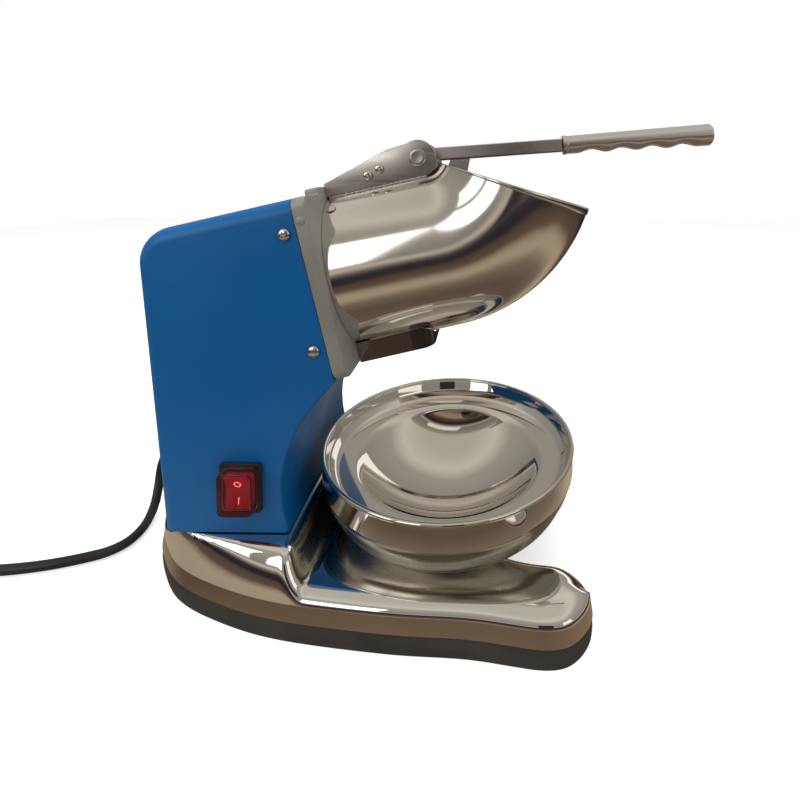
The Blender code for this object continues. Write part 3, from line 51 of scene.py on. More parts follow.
# Base outline of one half, from the rear centre round an arm's tip into the notch
OUTLINE = [
    (-0.19675, 0.0), (-0.1905, 0.0240), (-0.1785, 0.0405), (-0.1580, 0.0585), (-0.1280, 0.0715),
    (-0.0860, 0.0825), (-0.0230, 0.0900), (0.0230, 0.0925), (0.0500, 0.0960), (0.0660, 0.0980),
    (0.0800, 0.0966), (0.0910, 0.0893), (0.0982, 0.0790), (0.0985, 0.0690), (0.0935, 0.0585),
    (0.0830, 0.0512), (0.0620, 0.0480), (0.0450, 0.0410), (0.0355, 0.0220), (0.0335, 0.0),
]
OUTLINE_POINTS = 440
OUTLINE_EASING = 5
NOTCH_START = 13
SKIRT_HEIGHT = 0.012
SKIRT_WALL = 0.005
CREASE_HEIGHT = 0.022
CREASE_INSET = 0.0015
PLATEAU_HEIGHT = 0.030
DOME_POWER = 2.0
PEDESTAL_FLAT = 0.6
SHOULDER_WIDTH = 0.020
NOTCH_FLANK_WIDTH = 0.020
NOTCH_EDGE_HEIGHT = 0.0165
PEDESTAL_HEIGHT = 0.0477
PEDESTAL_FRONT_X = -0.084
PEDESTAL_TOE_X = -0.0685
PEDESTAL_SIDE_MARGIN = 0.0015
PEDESTAL_REAR_MARGIN = 0.0018
PEDESTAL_CORNER = 0.022
BASE_GRID = 0.0036

# Bowl
BOWL_X = 0.0090
BOWL_RIM_RADIUS = 0.0910
BOWL_RIM_HEIGHT = 0.077
BOWL_BAND_HEIGHT = 0.017
BOWL_FOOT_RADIUS = 0.0690
BOWL_FOOT_HEM = 0.012
BOWL_SHEET = 0.0014
BOWL_RIM_ROLL = 0.0014
BOWL_LEDGE_DEPTH = 0.0145
BOWL_DISH_RADIUS = 0.0665
BOWL_DISH_FLOOR = 0.0352
BOWL_SIDES = 192

# Head frame
TILT = math.radians(13.4)
HEAD = Matrix.Translation((-0.0620, 0, 0.2008)) @ Matrix.Rotation(-TILT, 4, "Y")
TURN_TO_S = Matrix.Rotation(math.pi / 2, 4, "Y")

# Housing
HOUSING_HALF_WIDTH = 0.062
HOUSING_TOP_N = 0.0564
HOUSING_REAR_X = -0.1648
HOUSING_REAR_LEAN = 0.0733
HOUSING_TOP_CORNER = 0.022
HOUSING_EDGE_RADIUS = 0.009
FOLD_RADIUS = 0.0016
PANEL_CURVE = [(-0.0775, 0.1170), (-0.0885, 0.0900), (-0.0897, 0.0680), (-0.0860, 0.0480)]
VENT_COUNT = 7
VENT_WIDTH = 0.003
VENT_LENGTH = 0.056
VENT_PITCH = 0.009
VENT_LOW_Z = 0.120

# Front casting
FLANGE_PROUD = 0.0005
FLANGE_BOTTOM_N = -0.0580
FLANGE_THICKNESS = 0.0085
FLANGE_CORNER = 0.007
TAB_HALF_WIDTH = 0.036
TAB_HEIGHT = 0.0046
CAVITY_RADIUS = 0.0495
CAVITY_DEPTH = 0.0090
CAVITY_FLOOR = 0.0015
DISCHARGE_HALF_WIDTH = 0.026
DISCHARGE_TOP = 0.035
CAST_EDGE = 0.0008
PLUG_DISC_S = -0.0045
PLUG_DISC_N = 0.0418

# Drum and guard
DRUM_RADIUS = 0.0565
DRUM_WALL = 0.0015
DRUM_LENGTH = 0.0695
ELBOW_RADIUS = 0.0655
ELBOW_ANGLE = math.radians(60.2)
DRUM_SIDES = 160
RIM_BEAD = 0.0008
RIM_BEAD_LENGTH = 0.003
RIVET_S = 0.0052
RIVET_ANGLE = math.radians(37.5)
RIVET_RADIUS = 0.0034
RIVET_EDGE = 0.0002
RIVET_DOME = 0.0012
GUARD_HALF_WIDTH = 0.0350
GUARD_LENGTH = 0.0510
GUARD_DROP = 0.0008
GUARD_CORNER = 0.008
# Start of the black band painted on the guard's sides as a dark reflection
GUARD_DARK_BAND_START = 0.0365
GUARD_SHEET = 0.0015

# Bracket, pivot and lever
PIVOT_S = 0.0667
PIVOT_N = 0.0659
BRACKET_HALF_WIDTH = 0.0220
BRACKET_SHEET = 0.0015
BRACKET_REAR_N = 0.0625
BRACKET_STEP_S = 0.0474
BRACKET_STEP_N = 0.0758
BRACKET_END_RADIUS = 0.0120
BRACKET_SCREWS = [(0.0309, 0.0617), (0.0395, 0.0642)]
PIN_RADIUS = 0.004
PIN_HEAD_RADIUS = 0.0057
PIN_HEAD = 0.0025
LEVER_RISE = math.radians(4.6)
HUB_RADIUS = 0.0084
BAR_WIDTH = 0.0094
BAR_RAISE = 0.0024
BAR_END = 0.1015
GRIP_START = 0.1020
GRIP_END_X = 0.19675
GRIP_RADIUS = 0.0064
GRIP_END_RADIUS = 0.0078
FINGER_VALLEYS = 4
FINGER_DEPTH = 0.0012
GRIP_CAP = 0.010

# Screws
SCREW_S = -0.016
SCREW_N = 0.0363
SCREW_HEAD = 0.0036
SCREW_HEAD_HEIGHT = 0.0018
BRACKET_SCREW_HEAD = 0.0031

# Switch
SWITCH_X = -0.1140
SWITCH_Z = 0.0775
BEZEL_WIDTH = 0.0255
BEZEL_HEIGHT = 0.031
BEZEL_THICKNESS = 0.002
SWITCH_BODY_WIDTH = 0.0205
SWITCH_BODY_HEIGHT = 0.0260
WELL_MARGIN = 0.0018
WELL_DEPTH = 0.007
COVER_HEIGHT = 0.0068
COVER_WALL = 0.0008
COVER_WIDTH = 0.0215
COVER_LENGTH = 0.0265
COVER_CORNER = 0.0035
ROCKER_WIDTH = 0.0150
ROCKER_LENGTH = 0.0200
ROCKER_TILT = math.radians(6)
MARK_RADIUS = 0.0021
MARK_INNER = 0.0015
MARK_BAR = 0.0003
MARK_LIFT = 0.0050
MARK_SLOPE = 0.22
MARK_MIDDLE = 0.0045

# Cord: its route as given points, then a straight run into the coil
CORD_DIAMETER = 0.0064
GLAND_Y = 0.020
GLAND_Z = 0.062
GLAND_LENGTH = 0.026
GLAND_ROOT = 0.0065
GLAND_TIP = 0.0046
CORD_ROUTE = [
    (-0.1780, 0.0200, 0.0615), (-0.1950, 0.0200, 0.0607), (-0.2095, 0.0218, 0.0560),
    (-0.2205, 0.0255, 0.0450), (-0.2265, 0.0262, 0.0320), (-0.2267, 0.0228, 0.0190),
    (-0.2243, 0.0150, 0.0090), (-0.2215, 0.0045, 0.0045), (-0.2195, -0.0070, 0.0036),
    (-0.2210, -0.0180, 0.0036), (-0.2280, -0.0262, 0.0036), (-0.2390, -0.0312, 0.0036),
    (-0.2540, -0.0360, 0.0036), (-0.2700, -0.0395, 0.0036), (-0.2870, -0.0420, 0.0038),
]
COIL_X = -0.340
COIL_Y = -0.0880
COIL_PITCH = 0.0071
COIL_LAYER = 0.0071
COIL_INNER = 0.0270
COIL_TURNS = 2.5
COIL_POINTS = 24
COIL_LIFT = 0.0012
COIL_DIP = 0.0012
COIL_LEAD = 0.0400
COIL_TAIL = 0.0200
TIE_WIDTH = 0.009
TIE_SHEET = 0.0008
TIE_SLACK = 0.0012
PLUG_LENGTH = 0.034
PLUG_NECK = 0.011
PLUG_WIDTH = 0.024
PLUG_HEIGHT = 0.016

# Camera: place, focal length and principal point in the 800-pixel frame, in pixels
CAMERA_PLACE = Vector((0.03075, -0.329, 0.268))
CAMERA_FOCAL = 452.0
CAMERA_CENTRE = (481.0, 200.0)
CAMERA_PITCH = math.radians(3.0)
CAMERA_ROLL = math.radians(0.5)
PICTURE = 800.0
SENSOR = 36.0
CAMERA_CLIP = 0.01

# Polished metals: tone, least and most roughness, ripple depth and scale, wipe depth
POLISHED = {
    "chrome": ((0.86, 0.845, 0.82), 0.02, 0.055, 0.00004, 12.0, 0.0000002),
    # Side band of the base: tone darkened and tinted tan-brown, a painted reflection of a brown floor
    "side_band_painted_reflection": ((0.50, 0.43, 0.375), 0.16, 0.26),
    "polished_steel": ((0.80, 0.775, 0.73), 0.06, 0.14, 0.00003, 20.0),
    "guard_steel": ((0.40, 0.385, 0.345), 0.05, 0.12),
    "drum_inside": ((0.62, 0.60, 0.56), 0.16, 0.30),
    "bowl_steel": ((0.80, 0.775, 0.735), 0.03, 0.08, 0.000012, 24.0, 0.0000003),
    "lever_steel": ((0.82, 0.80, 0.785), 0.24, 0.40, 0.00003, 60.0),
    "screw_steel": ((0.78, 0.76, 0.74), 0.12, 0.24),
}

# Brushed metals: tone, least and most roughness, stretch of the grain, its scale and depth
BRUSHED = {
    "bowl_body": ((0.46, 0.44, 0.39), 0.24, 0.32, (0.02, 0.02, 1.0), 500.0, 0.0000010),
    "brushed_steel": ((0.60, 0.575, 0.565), 0.28, 0.40, (0.05, 1.0, 1.0)),
    "sheet_steel": ((0.45, 0.45, 0.44), 0.34, 0.48, (0.1, 1.0, 1.0)),
    "lamination": ((0.24, 0.17, 0.12), 0.4, 0.55, (1.0, 0.1, 1.0)),
    "brass": ((0.66, 0.49, 0.21), 0.22, 0.34, (0.1, 1.0, 1.0)),
}

# Room: colours from straight down (0) to straight up (1)
ROOM_COLOURS = [
    (0.0, (0.17, 0.125, 0.090)), (0.10, (0.12, 0.085, 0.060)), (0.17, (0.20, 0.155, 0.110)),
    (0.225, (0.43, 0.35, 0.245)), (0.265, (0.38, 0.305, 0.215)), (0.31, (0.120, 0.078, 0.052)),
    (0.365, (0.090, 0.058, 0.042)), (0.395, (0.022, 0.020, 0.026)), (0.455, (0.030, 0.027, 0.034)),
    (0.49, (0.20, 0.150, 0.130)), (0.525, (0.62, 0.57, 0.48)), (0.56, (0.25, 0.235, 0.215)),
    (0.72, (0.31, 0.29, 0.255)), (0.86, (0.38, 0.355, 0.31)), (0.93, (0.64, 0.60, 0.53)),
    (1.0, (0.50, 0.47, 0.41)),
]

# Upright patches of the room: azimuth, lower and upper height as sines, half width, colour
WINDOWS = [
    (-2.45, 0.10, 0.55, 0.16, (2.2, 2.1, 1.95)), (-2.05, 0.10, 0.55, 0.16, (2.2, 2.1, 1.95)),
    (-0.75, 0.16, 0.50, 0.22, (1.1, 1.02, 0.90)), (1.2, 0.05, 0.32, 0.30, (1.1, 1.05, 0.98)),
    (-1.45, -0.10, 0.42, 0.14, (0.030, 0.028, 0.032)),
]

# Soft lights: place, target, width, height, watts, colour
LIGHTS = {
    "ceiling": ((0.1, 0.1, 1.6), (0, 0, 0.1), 1.8, 1.4, 24.0, (1.0, 0.98, 0.95)),
    "window_left": ((-1.1, -0.9, 0.9), (-0.05, 0, 0.12), 0.7, 0.9, 9.0, (1.0, 0.98, 0.96)),
    "window_right": ((1.2, -0.5, 0.7), (0.05, 0, 0.12), 0.4, 0.8, 4.0, (1.0, 0.95, 0.88)),
}

# Floor corners in plan, and its height
FLOOR = [(-2.2, -0.175), (2.2, -0.175), (2.2, 2.4), (-2.2, 2.4)]
FLOOR_HEIGHT = -0.0002

ROOT = "frame"


# Materials

def add_node(tree, kind, sources, values=None, **settings):
    """Add a shader node, set it up and feed its inputs, which go by name or number."""
    node = tree.nodes.new("ShaderNode" + kind)
    for name, value in settings.items():
        setattr(node, name, value)
    for key, value in (values or {}).items():
        node.inputs[key].default_value = value
    for key, source in sources.items():
        tree.links.new(source, node.inputs[key])
    return node


def colour_ramp(tree, source, stops):
    """Colour ramp from (position, colour) stops."""
    node = add_node(tree, "ValToRGB", {"Fac": source})
    elements = node.color_ramp.elements
    while len(elements) < len(stops):
        elements.new(0.5)
    for element, (position, colour) in zip(elements, stops):
        element.position = position
        element.color = (*colour, 1.0)
    return node.outputs["Color"]


class Shades:
    """Small helper that builds a node material around one Principled shader."""

    def __init__(self, name, colour, roughness, metallic=0.0, **sockets):
        self.material = bpy.data.materials.new(name)
        self.material.use_nodes = True
        self.tree = self.material.node_tree
        self.shader = self.tree.nodes["Principled BSDF"]
        self.shader.inputs["Base Color"].default_value = (*colour, 1.0)
        self.shader.inputs["Roughness"].default_value = roughness
        self.shader.inputs["Metallic"].default_value = metallic
        for label, value in sockets.items():
            title = label.replace("_", " ").title().replace("Ior", "IOR")
            self.shader.inputs[title].default_value = value
        self.place = self.tree.nodes.new("ShaderNodeTexCoord").outputs["Object"]

    def noise(self, scale, detail=4.0, stretch=(1.0, 1.0, 1.0)):
        """Noise in the object's space, with its grain stretched along an axis."""
        mapping = add_node(self.tree, "Mapping", {"Vector": self.place}, {"Scale": stretch})
        texture = add_node(self.tree, "TexNoise", {"Vector": mapping.outputs["Vector"]},
                           {"Scale": scale, "Detail": detail, "Roughness": 0.5})
        return texture.outputs["Fac"]

    def ramp(self, source, stops):
        """Colour ramp from (position, colour) stops."""
        return colour_ramp(self.tree, source, stops)

    def span(self, source, low, high, start=0.3, end=0.7):
        """Map a noise value to a range of numbers."""
        return add_node(self.tree, "MapRange", {"Value": source}, {
            "From Min": start, "From Max": end, "To Min": low, "To Max": high}).outputs["Result"]

    def set(self, label, source):
        """Feed a shader socket."""
        self.tree.links.new(source, self.shader.inputs[label])

    def bump(self, sources, depths):
        """Add bumps, one after another, with their depths in metres."""
        feeds = {}
        for source, depth in zip(sources, depths):
            feeds["Height"] = source
            node = add_node(self.tree, "Bump", feeds, {"Distance": depth, "Strength": 1.0})
            feeds["Normal"] = node.outputs["Normal"]
        self.set("Normal", feeds["Normal"])


def polished(name, tone, low, high, ripple=0.00002, ripple_scale=30.0, wipe=0.0000006):
    """Mirror-polished metal with faint ripples, smears and fine wipe marks."""
    m = Shades(name, tone, low, 1.0)
    smear = m.noise(9.0, 5.0, (1.0, 1.0, 2.5))
    m.set("Roughness", m.span(smear, low, high, 0.38, 0.68))
    tones = [(0.35, tuple(c * 0.94 for c in tone)), (0.65, tone)]
    m.set("Base Color", m.ramp(m.noise(4.0, 3.0), tones))
    wipes = m.noise(160.0, 3.0, (0.25, 1.0, 1.0))
    m.bump([m.noise(ripple_scale, 1.0), wipes], [ripple, wipe])
    return m.material


def brushed(name, tone, low, high, stretch, scale=700.0, depth=0.000006):
    """Brushed metal whose grain runs along the axis with the small stretch."""
    m = Shades(name, tone, low, 1.0)
    grain = m.noise(scale, 3.0, stretch)
    m.set("Roughness", m.span(grain, low, high))
    tones = [(0.3, tuple(c * 0.86 for c in tone)), (0.7, tone)]
    m.set("Base Color", m.ramp(m.noise(12.0, 4.0, stretch), tones))
    m.bump([grain], [depth])
    return m.material


def painted_blue():
    """Satin blue powder coat: fine orange peel, a little lighter where light wears it."""
    m = Shades("blue_paint", (0.0005, 0.076, 0.29), 0.40, specular_ior_level=0.30, coat_weight=0.08,
               coat_roughness=0.20)
    tones = [(0.32, (0.0004, 0.084, 0.262)), (0.70, (0.0006, 0.106, 0.330))]
    m.set("Base Color", m.ramp(m.noise(5.0, 5.0), tones))
    m.set("Roughness", m.span(m.noise(22.0, 4.0), 0.36, 0.46))
    m.bump([m.noise(420.0, 2.0), m.noise(1900.0, 2.0)], [0.000012, 0.000006])
    return m.material


def cast_metal():
    """Bead-blasted casting: grey, fine grain, faint stains."""
    m = Shades("cast_aluminium", (0.33, 0.33, 0.31), 0.5, 0.35)
    tones = [(0.3, (0.235, 0.235, 0.22)), (0.7, (0.30, 0.30, 0.28))]
    m.set("Base Color", m.ramp(m.noise(24.0, 5.0), tones))
    m.set("Roughness", m.span(m.noise(90.0, 4.0), 0.42, 0.58))
    m.bump([m.noise(900.0, 3.0), m.noise(120.0, 3.0)], [0.00004, 0.00005])
    return m.material


def rubber(name, tone, light, low=0.55, high=0.72):
    """Moulded rubber with dust in its grain."""
    m = Shades(name, tone, low)
    m.set("Base Color", m.ramp(m.noise(30.0, 6.0), [(0.35, tone), (0.75, light)]))
    m.set("Roughness", m.span(m.noise(60.0, 4.0), low, high))
    m.bump([m.noise(1300.0, 3.0), m.noise(70.0, 2.0)], [0.00003, 0.00004])
    return m.material


def plastic(name, tone, light, rough, **sockets):
    """Moulded plastic with a fine spark-eroded grain."""
    m = Shades(name, tone, rough, **sockets)
    m.set("Base Color", m.ramp(m.noise(40.0, 4.0), [(0.35, tone), (0.7, light)]))
    m.set("Roughness", m.span(m.noise(200.0, 3.0), rough - 0.05, rough + 0.07))
    m.bump([m.noise(1500.0, 2.0)], [0.00001])
    return m.material


def make_materials():
    """All finishes by name: the record's slots and a few of the scene's own."""
    finishes = {name: polished(name, *values) for name, values in POLISHED.items()}
    finishes.update({name: brushed(name, *values) for name, values in BRUSHED.items()})
    finishes.update({
        "blue_paint": painted_blue(),
        "cast_aluminium": cast_metal(),
        "rubber": rubber("rubber", (0.018, 0.017, 0.015), (0.030, 0.028, 0.025)),
        "cord_sheath": rubber("cord_sheath", (0.010, 0.009, 0.009), (0.018, 0.016, 0.015), 0.34, 0.46),
        "black_plastic": plastic("black_plastic", (0.009, 0.008, 0.008), (0.016, 0.015, 0.015), 0.38),
        # The rocker and its marks glow with emission: a painted glow that brightens them, with no lamp
        # inside
        "red_plastic": plastic("red_plastic", (0.62, 0.008, 0.022), (0.74, 0.012, 0.028), 0.20,
                               emission_color=(0.80, 0.01, 0.04, 1.0), emission_strength=0.30),
        "mark_white": plastic("mark_white", (0.80, 0.72, 0.70), (0.88, 0.80, 0.78), 0.4,
                              emission_color=(1.0, 0.82, 0.82, 1.0), emission_strength=1.6),
        "clear_cover": plastic("clear_cover", (0.42, 0.14, 0.17), (0.48, 0.18, 0.21), 0.10,
                               transmission_weight=0.95, ior=1.30),
    })
    return finishes


FINISH = make_materials()


# Mesh helpers

def fill_mesh(name, bm):
    """New mesh from a bmesh whose faces all look outward."""
    bmesh.ops.recalc_face_normals(bm, faces=bm.faces)
    mesh = bpy.data.meshes.new(name)
    bm.to_mesh(mesh)
    bm.free()
    return mesh


def smooth(mesh, sharp):
    """Smooth shading with edges kept sharp above an angle in degrees."""
    mesh.shade_smooth()
    mesh.set_sharp_from_angle(angle=math.radians(sharp))


def piece(name, bm, finishes, body, nodes, sharp=38):
    """Make a shown piece from a bmesh, on its body and standing for its nodes.

    finishes is one name or a list of names, added to the mesh in that order.
    """
    mesh = fill_mesh(name, bm)
    for label in [finishes] if isinstance(finishes, str) else finishes:
        mesh.materials.append(FINISH[label])
    smooth(mesh, sharp)
    return register(bpy.data.objects.new(name, mesh), body, nodes)


def register(item, body, nodes):
    """Link an object, ride its body and stand for its nodes."""
    bpy.context.scene.collection.objects.link(item)
    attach(item, body)
    if nodes:
        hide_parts(*nodes)
    return item


def curve_through(points, steps, closed=False):
    """Catmull-Rom points through a list of vectors."""
    points = [Vector(p) for p in points]
    count = len(points)
    result = []
    for i in range(count if closed else count - 1):
        if closed:
            p0, p1, p2, p3 = (points[(i + k - 1) % count] for k in range(4))
        else:
            p1, p2 = points[i], points[i + 1]
            p0 = points[i - 1] if i else 2 * p1 - p2
            p3 = points[i + 2] if i + 2 < count else 2 * p2 - p1
        for k in range(steps):
            t = k / steps
            result.append(0.5 * (2 * p1 + (p2 - p0) * t + (2 * p0 - 5 * p1 + 4 * p2 - p3) * t * t
                                 + (3 * p1 - p0 - 3 * p2 + p3) * t ** 3))
    if not closed:
        result.append(points[-1])
    return result


def fillet(before, corner, after, radius, steps):
    """Arc that rounds a corner of a polyline."""
    before, corner, after = Vector(before), Vector(corner), Vector(after)
    first = (before - corner).normalized()
    second = (after - corner).normalized()
    half = first.angle(second) / 2
    reach = min(radius / math.tan(half), 0.48 * (before - corner).length, 0.48 * (after - corner).length)
    radius = reach * math.tan(half)
    centre = corner + (first + second).normalized() * radius / math.sin(half)
    start = corner + first * reach - centre
    turn = start.angle_signed(corner + second * reach - centre)
    return [centre + Matrix.Rotation(-turn * k / steps, 2) @ start for k in range(steps + 1)]


def rounded(points, radii, steps=6, closed=True):
    """Polyline with each corner rounded; a radius of 0 keeps the corner."""
    result = []
    count = len(points)
    for i, corner in enumerate(points):
        radius = radii[i] if isinstance(radii, (list, tuple)) else radii
        if radius == 0 or (not closed and i in (0, count - 1)):
            result.append(Vector(corner))
        else:
            result += fillet(points[i - 1], corner, points[(i + 1) % count], radius, steps)
    return result


def rounded_rectangle(width, height, radius, steps=6):
    """Outline of a rectangle with round corners, about its centre."""
    w, h = width / 2, height / 2
    return rounded([(w, -h), (w, h), (-w, h), (-w, -h)], radius, steps)


def strip(bm, first, second, finish=0):
    """Join two loops of vertices with a band of faces; a loop may be one vertex, repeated."""
    for k in range(len(first)):
        j = (k + 1) % len(first)
        corners = dict.fromkeys((first[k], first[j], second[j], second[k]))
        bm.faces.new(list(corners)).material_index = finish


def second_finish(bm, start, end=None):
    """Give a run of faces the second finish."""
    for face in list(bm.faces)[start:end]:
        face.material_index = 1


def loft(rings, closed=False, bm=None):
    """Bmesh skin over rings of equal count, either a ring of rings or capped at both ends."""
    if bm is None:
        bm = bmesh.new()
    loops = [[bm.verts.new(p) for p in ring] for ring in rings]
    if closed:
        loops.append(loops[0])
    for first, second in zip(loops, loops[1:]):
        strip(bm, first, second)
    if not closed:
        bm.faces.new(loops[0])
        bm.faces.new(loops[-1])
    return bm


def turn(profile, place, sides=64, loop=False, radius_at=None):
    """Bmesh of a profile of (radius, height) turned about the frame's Z axis."""
    bm = bmesh.new()
    rings = []
    for radius, height in profile:
        if radius < 1e-7:
            rings.append([bm.verts.new(place @ Vector((0, 0, height)))] * sides)
            continue
        ring = []
        for k in range(sides):
            angle = 2 * math.pi * k / sides
            here = radius if radius_at is None else radius_at(radius, height, angle)
            spot = Vector((here * math.cos(angle), here * math.sin(angle), height))
            ring.append(bm.verts.new(place @ spot))
        rings.append(ring)
    if loop:
        rings.append(rings[0])
    for low, high in zip(rings, rings[1:]):
        strip(bm, low, high)
    return bm


def dome(radius, base, height, steps):
    """Profile of a round cap from its rim to its middle."""
    angles = [math.pi / 2 * k / steps for k in range(steps)]
    return [(radius * math.cos(a), base + height * math.sin(a)) for a in angles] + [(0.0, base + height)]


def prism(outline, low, high, place, edge=0.0, steps=3):
    """Plate between two depths with rounded rims; place(u, v, w) gives the world point."""
    points = [Vector(p).xy for p in outline]
    rings = []
    for w, side in ((low, 1), (high, -1)):
        part = []
        for k in range(steps + 1 if edge else 1):
            angle = math.pi / 2 * k / steps
            depth = edge * (1 - math.sin(angle)) if edge else 0.0
            rise = edge * (1 - math.cos(angle)) if edge else 0.0
            part.append((draw_in(points, depth), w + side * rise))
        rings += part if side == 1 else part[::-1]
    return loft([[place(p.x, p.y, w) for p in ring] for ring, w in rings])


def draw_in(points, distance):
    """Closed outline moved inward, whichever way it runs."""
    if distance == 0:
        return points
    count = len(points)
    area = sum(points[i].cross(points[(i + 1) % count]) for i in range(count))
    side = 1 if area > 0 else -1
    moved = []
    for i, point in enumerate(points):
        along = (points[(i + 1) % count] - points[i - 1]).normalized()
        moved.append(point + side * distance * Vector((-along.y, along.x)))
    return moved


def head_point(s, y, n):
    """World point of a head-frame position."""
    return HEAD @ Vector((s, y, n))


def head_side(s, n, y):
    """Place for plates that lie along the head's side view."""
    return head_point(s, y, n)


def head_front(y, n, s):
    """Place for plates that lie across the head's axis."""
    return head_point(s, y, n)


def axis_frame(origin, direction):
    """Frame whose Z axis points along a direction."""
    return Matrix.Translation(origin) @ Vector(direction).to_track_quat("Z", "Y").to_matrix().to_4x4()


def add_box(bm, low, high, place=Matrix.Identity(4)):
    """Add a box between two corners of a frame."""
    size = [b - a for a, b in zip(low, high)]
    centre = [(a + b) / 2 for a, b in zip(low, high)]
    bmesh.ops.create_cube(bm, size=1.0,
                          matrix=place @ Matrix.Translation(centre) @ Matrix.Diagonal((*size, 1)))


def carve(item, bm):
    """Cut closed shapes out of an object and keep the result as its mesh."""
    tool = bpy.data.objects.new("tool", fill_mesh("tool", bm))
    bpy.context.scene.collection.objects.link(tool)
    modifier = item.modifiers.new("carve", "BOOLEAN")
    modifier.object = tool
    bpy.context.view_layer.update()
    result = bpy.data.meshes.new_from_object(item.evaluated_get(bpy.context.evaluated_depsgraph_get()))
    item.modifiers.remove(modifier)
    item.data = result
    bpy.data.objects.remove(tool)


# Base

def even_loop(points, count):
    """Closed loop resampled at even steps and eased by averaging neighbours."""
    array = np.array([tuple(p) for p in points])
    ring = np.vstack([array, array[:1]])
    along = np.concatenate([[0.0], np.cumsum(np.linalg.norm(np.diff(ring, axis=0), axis=1))])
    spots = np.linspace(0.0, along[-1], count, endpoint=False)
    result = np.stack([np.interp(spots, along, ring[:, k]) for k in range(2)], axis=1)
    for _ in range(OUTLINE_EASING):
        result = 0.5 * result + 0.25 * (np.roll(result, 1, axis=0) + np.roll(result, -1, axis=0))
    return result


def base_loop():
    """Plan outline of the base as an array, and which of its points edge the notch."""
    lower = [(x, -y) for x, y in reversed(OUTLINE[1:-1])]
    dense = curve_through(OUTLINE + lower, 12, closed=True)
    loop = even_loop(dense, OUTLINE_POINTS)
    notch_x, notch_y = OUTLINE[NOTCH_START]
    inside = (np.abs(loop[:, 1]) <= notch_y) & (loop[:, 0] > OUTLINE[-1][0] - 0.004)
    return loop, inside & (loop[:, 0] <= notch_x + 0.002)


LOOP, IN_NOTCH = base_loop()


def loop_inset(distance):
    """Plan outline moved inward along its normals."""
    along = np.roll(LOOP, -1, axis=0) - np.roll(LOOP, 1, axis=0)
    along /= np.linalg.norm(along, axis=1)[:, None]
    return LOOP + distance * np.stack([along[:, 1], -along[:, 0]], axis=1)


def edge_distances(points):
    """Distances of plan points to the outer edge and to the notch's edge."""
    start, end = LOOP, np.roll(LOOP, -1, axis=0)
    run = end - start
    length = (run ** 2).sum(axis=1)
    offset = points[:, None, :] - start[None]
    t = np.clip((offset * run[None]).sum(axis=2) / length, 0.0, 1.0)
    gap = np.linalg.norm(offset - t[:, :, None] * run[None], axis=2)
    notch = IN_NOTCH & np.roll(IN_NOTCH, -1)
    return gap[:, ~notch].min(axis=1), gap[:, notch].min(axis=1)


def smooth_step(t):
    """Ramp from 0 to 1 with flat ends."""
    t = np.clip(t, 0.0, 1.0)
    return t * t * (3 - 2 * t)


def casting_height(points):
    """Top surface of the base casting over an array of plan points."""
    x, y = points[:, 0], points[:, 1]
    outer, notch = edge_distances(points)
    ramp = smooth_step((PEDESTAL_TOE_X - x) / (PEDESTAL_TOE_X - PEDESTAL_FRONT_X))
    top = PLATEAU_HEIGHT + (PEDESTAL_HEIGHT - PLATEAU_HEIGHT) * ramp
    outer = np.maximum(0.0, outer - CREASE_INSET)
    corner_x = HOUSING_REAR_X + PEDESTAL_REAR_MARGIN + PEDESTAL_CORNER
    corner_y = HOUSING_HALF_WIDTH - PEDESTAL_SIDE_MARGIN - PEDESTAL_CORNER
    foot = np.maximum(0.0, np.hypot(np.maximum(corner_x - x, 0.0), np.maximum(np.abs(y) - corner_y, 0.0))
                      - PEDESTAL_CORNER)
    rest = ramp * foot + (1 - ramp) * np.maximum(0.0, SHOULDER_WIDTH - outer)
    share = np.clip((1 + PEDESTAL_FLAT * ramp) * outer / np.maximum(1e-6, outer + rest), 0.0, 1.0)
    height = CREASE_HEIGHT + (top - CREASE_HEIGHT) * (1 - (1 - share) ** DOME_POWER) ** (1 / DOME_POWER)
    flank = NOTCH_EDGE_HEIGHT + (top - NOTCH_EDGE_HEIGHT) * np.sin(
        math.pi / 2 * np.minimum(1.0, notch / NOTCH_FLANK_WIDTH))
    blend = 0.0018
    mix = np.clip(0.5 + 0.5 * (flank - height) / blend, 0.0, 1.0)
    return flank + (height - flank) * mix - blend * mix * (1 - mix)


def inside_loop(points, polygon):
    """True where plan points lie inside a closed polygon."""
    x, y = points[:, 0][:, None], points[:, 1][:, None]
    ax, ay = polygon[:, 0][None], polygon[:, 1][None]
    bx, by = np.roll(polygon, -1, axis=0).T
    crosses = (ay > y) != (by > y)
    rise = np.where(by == ay, 1e-12, by - ay)
    return (crosses & (x < (bx - ax) * (y - ay) / rise + ax)).sum(axis=1) % 2 == 1


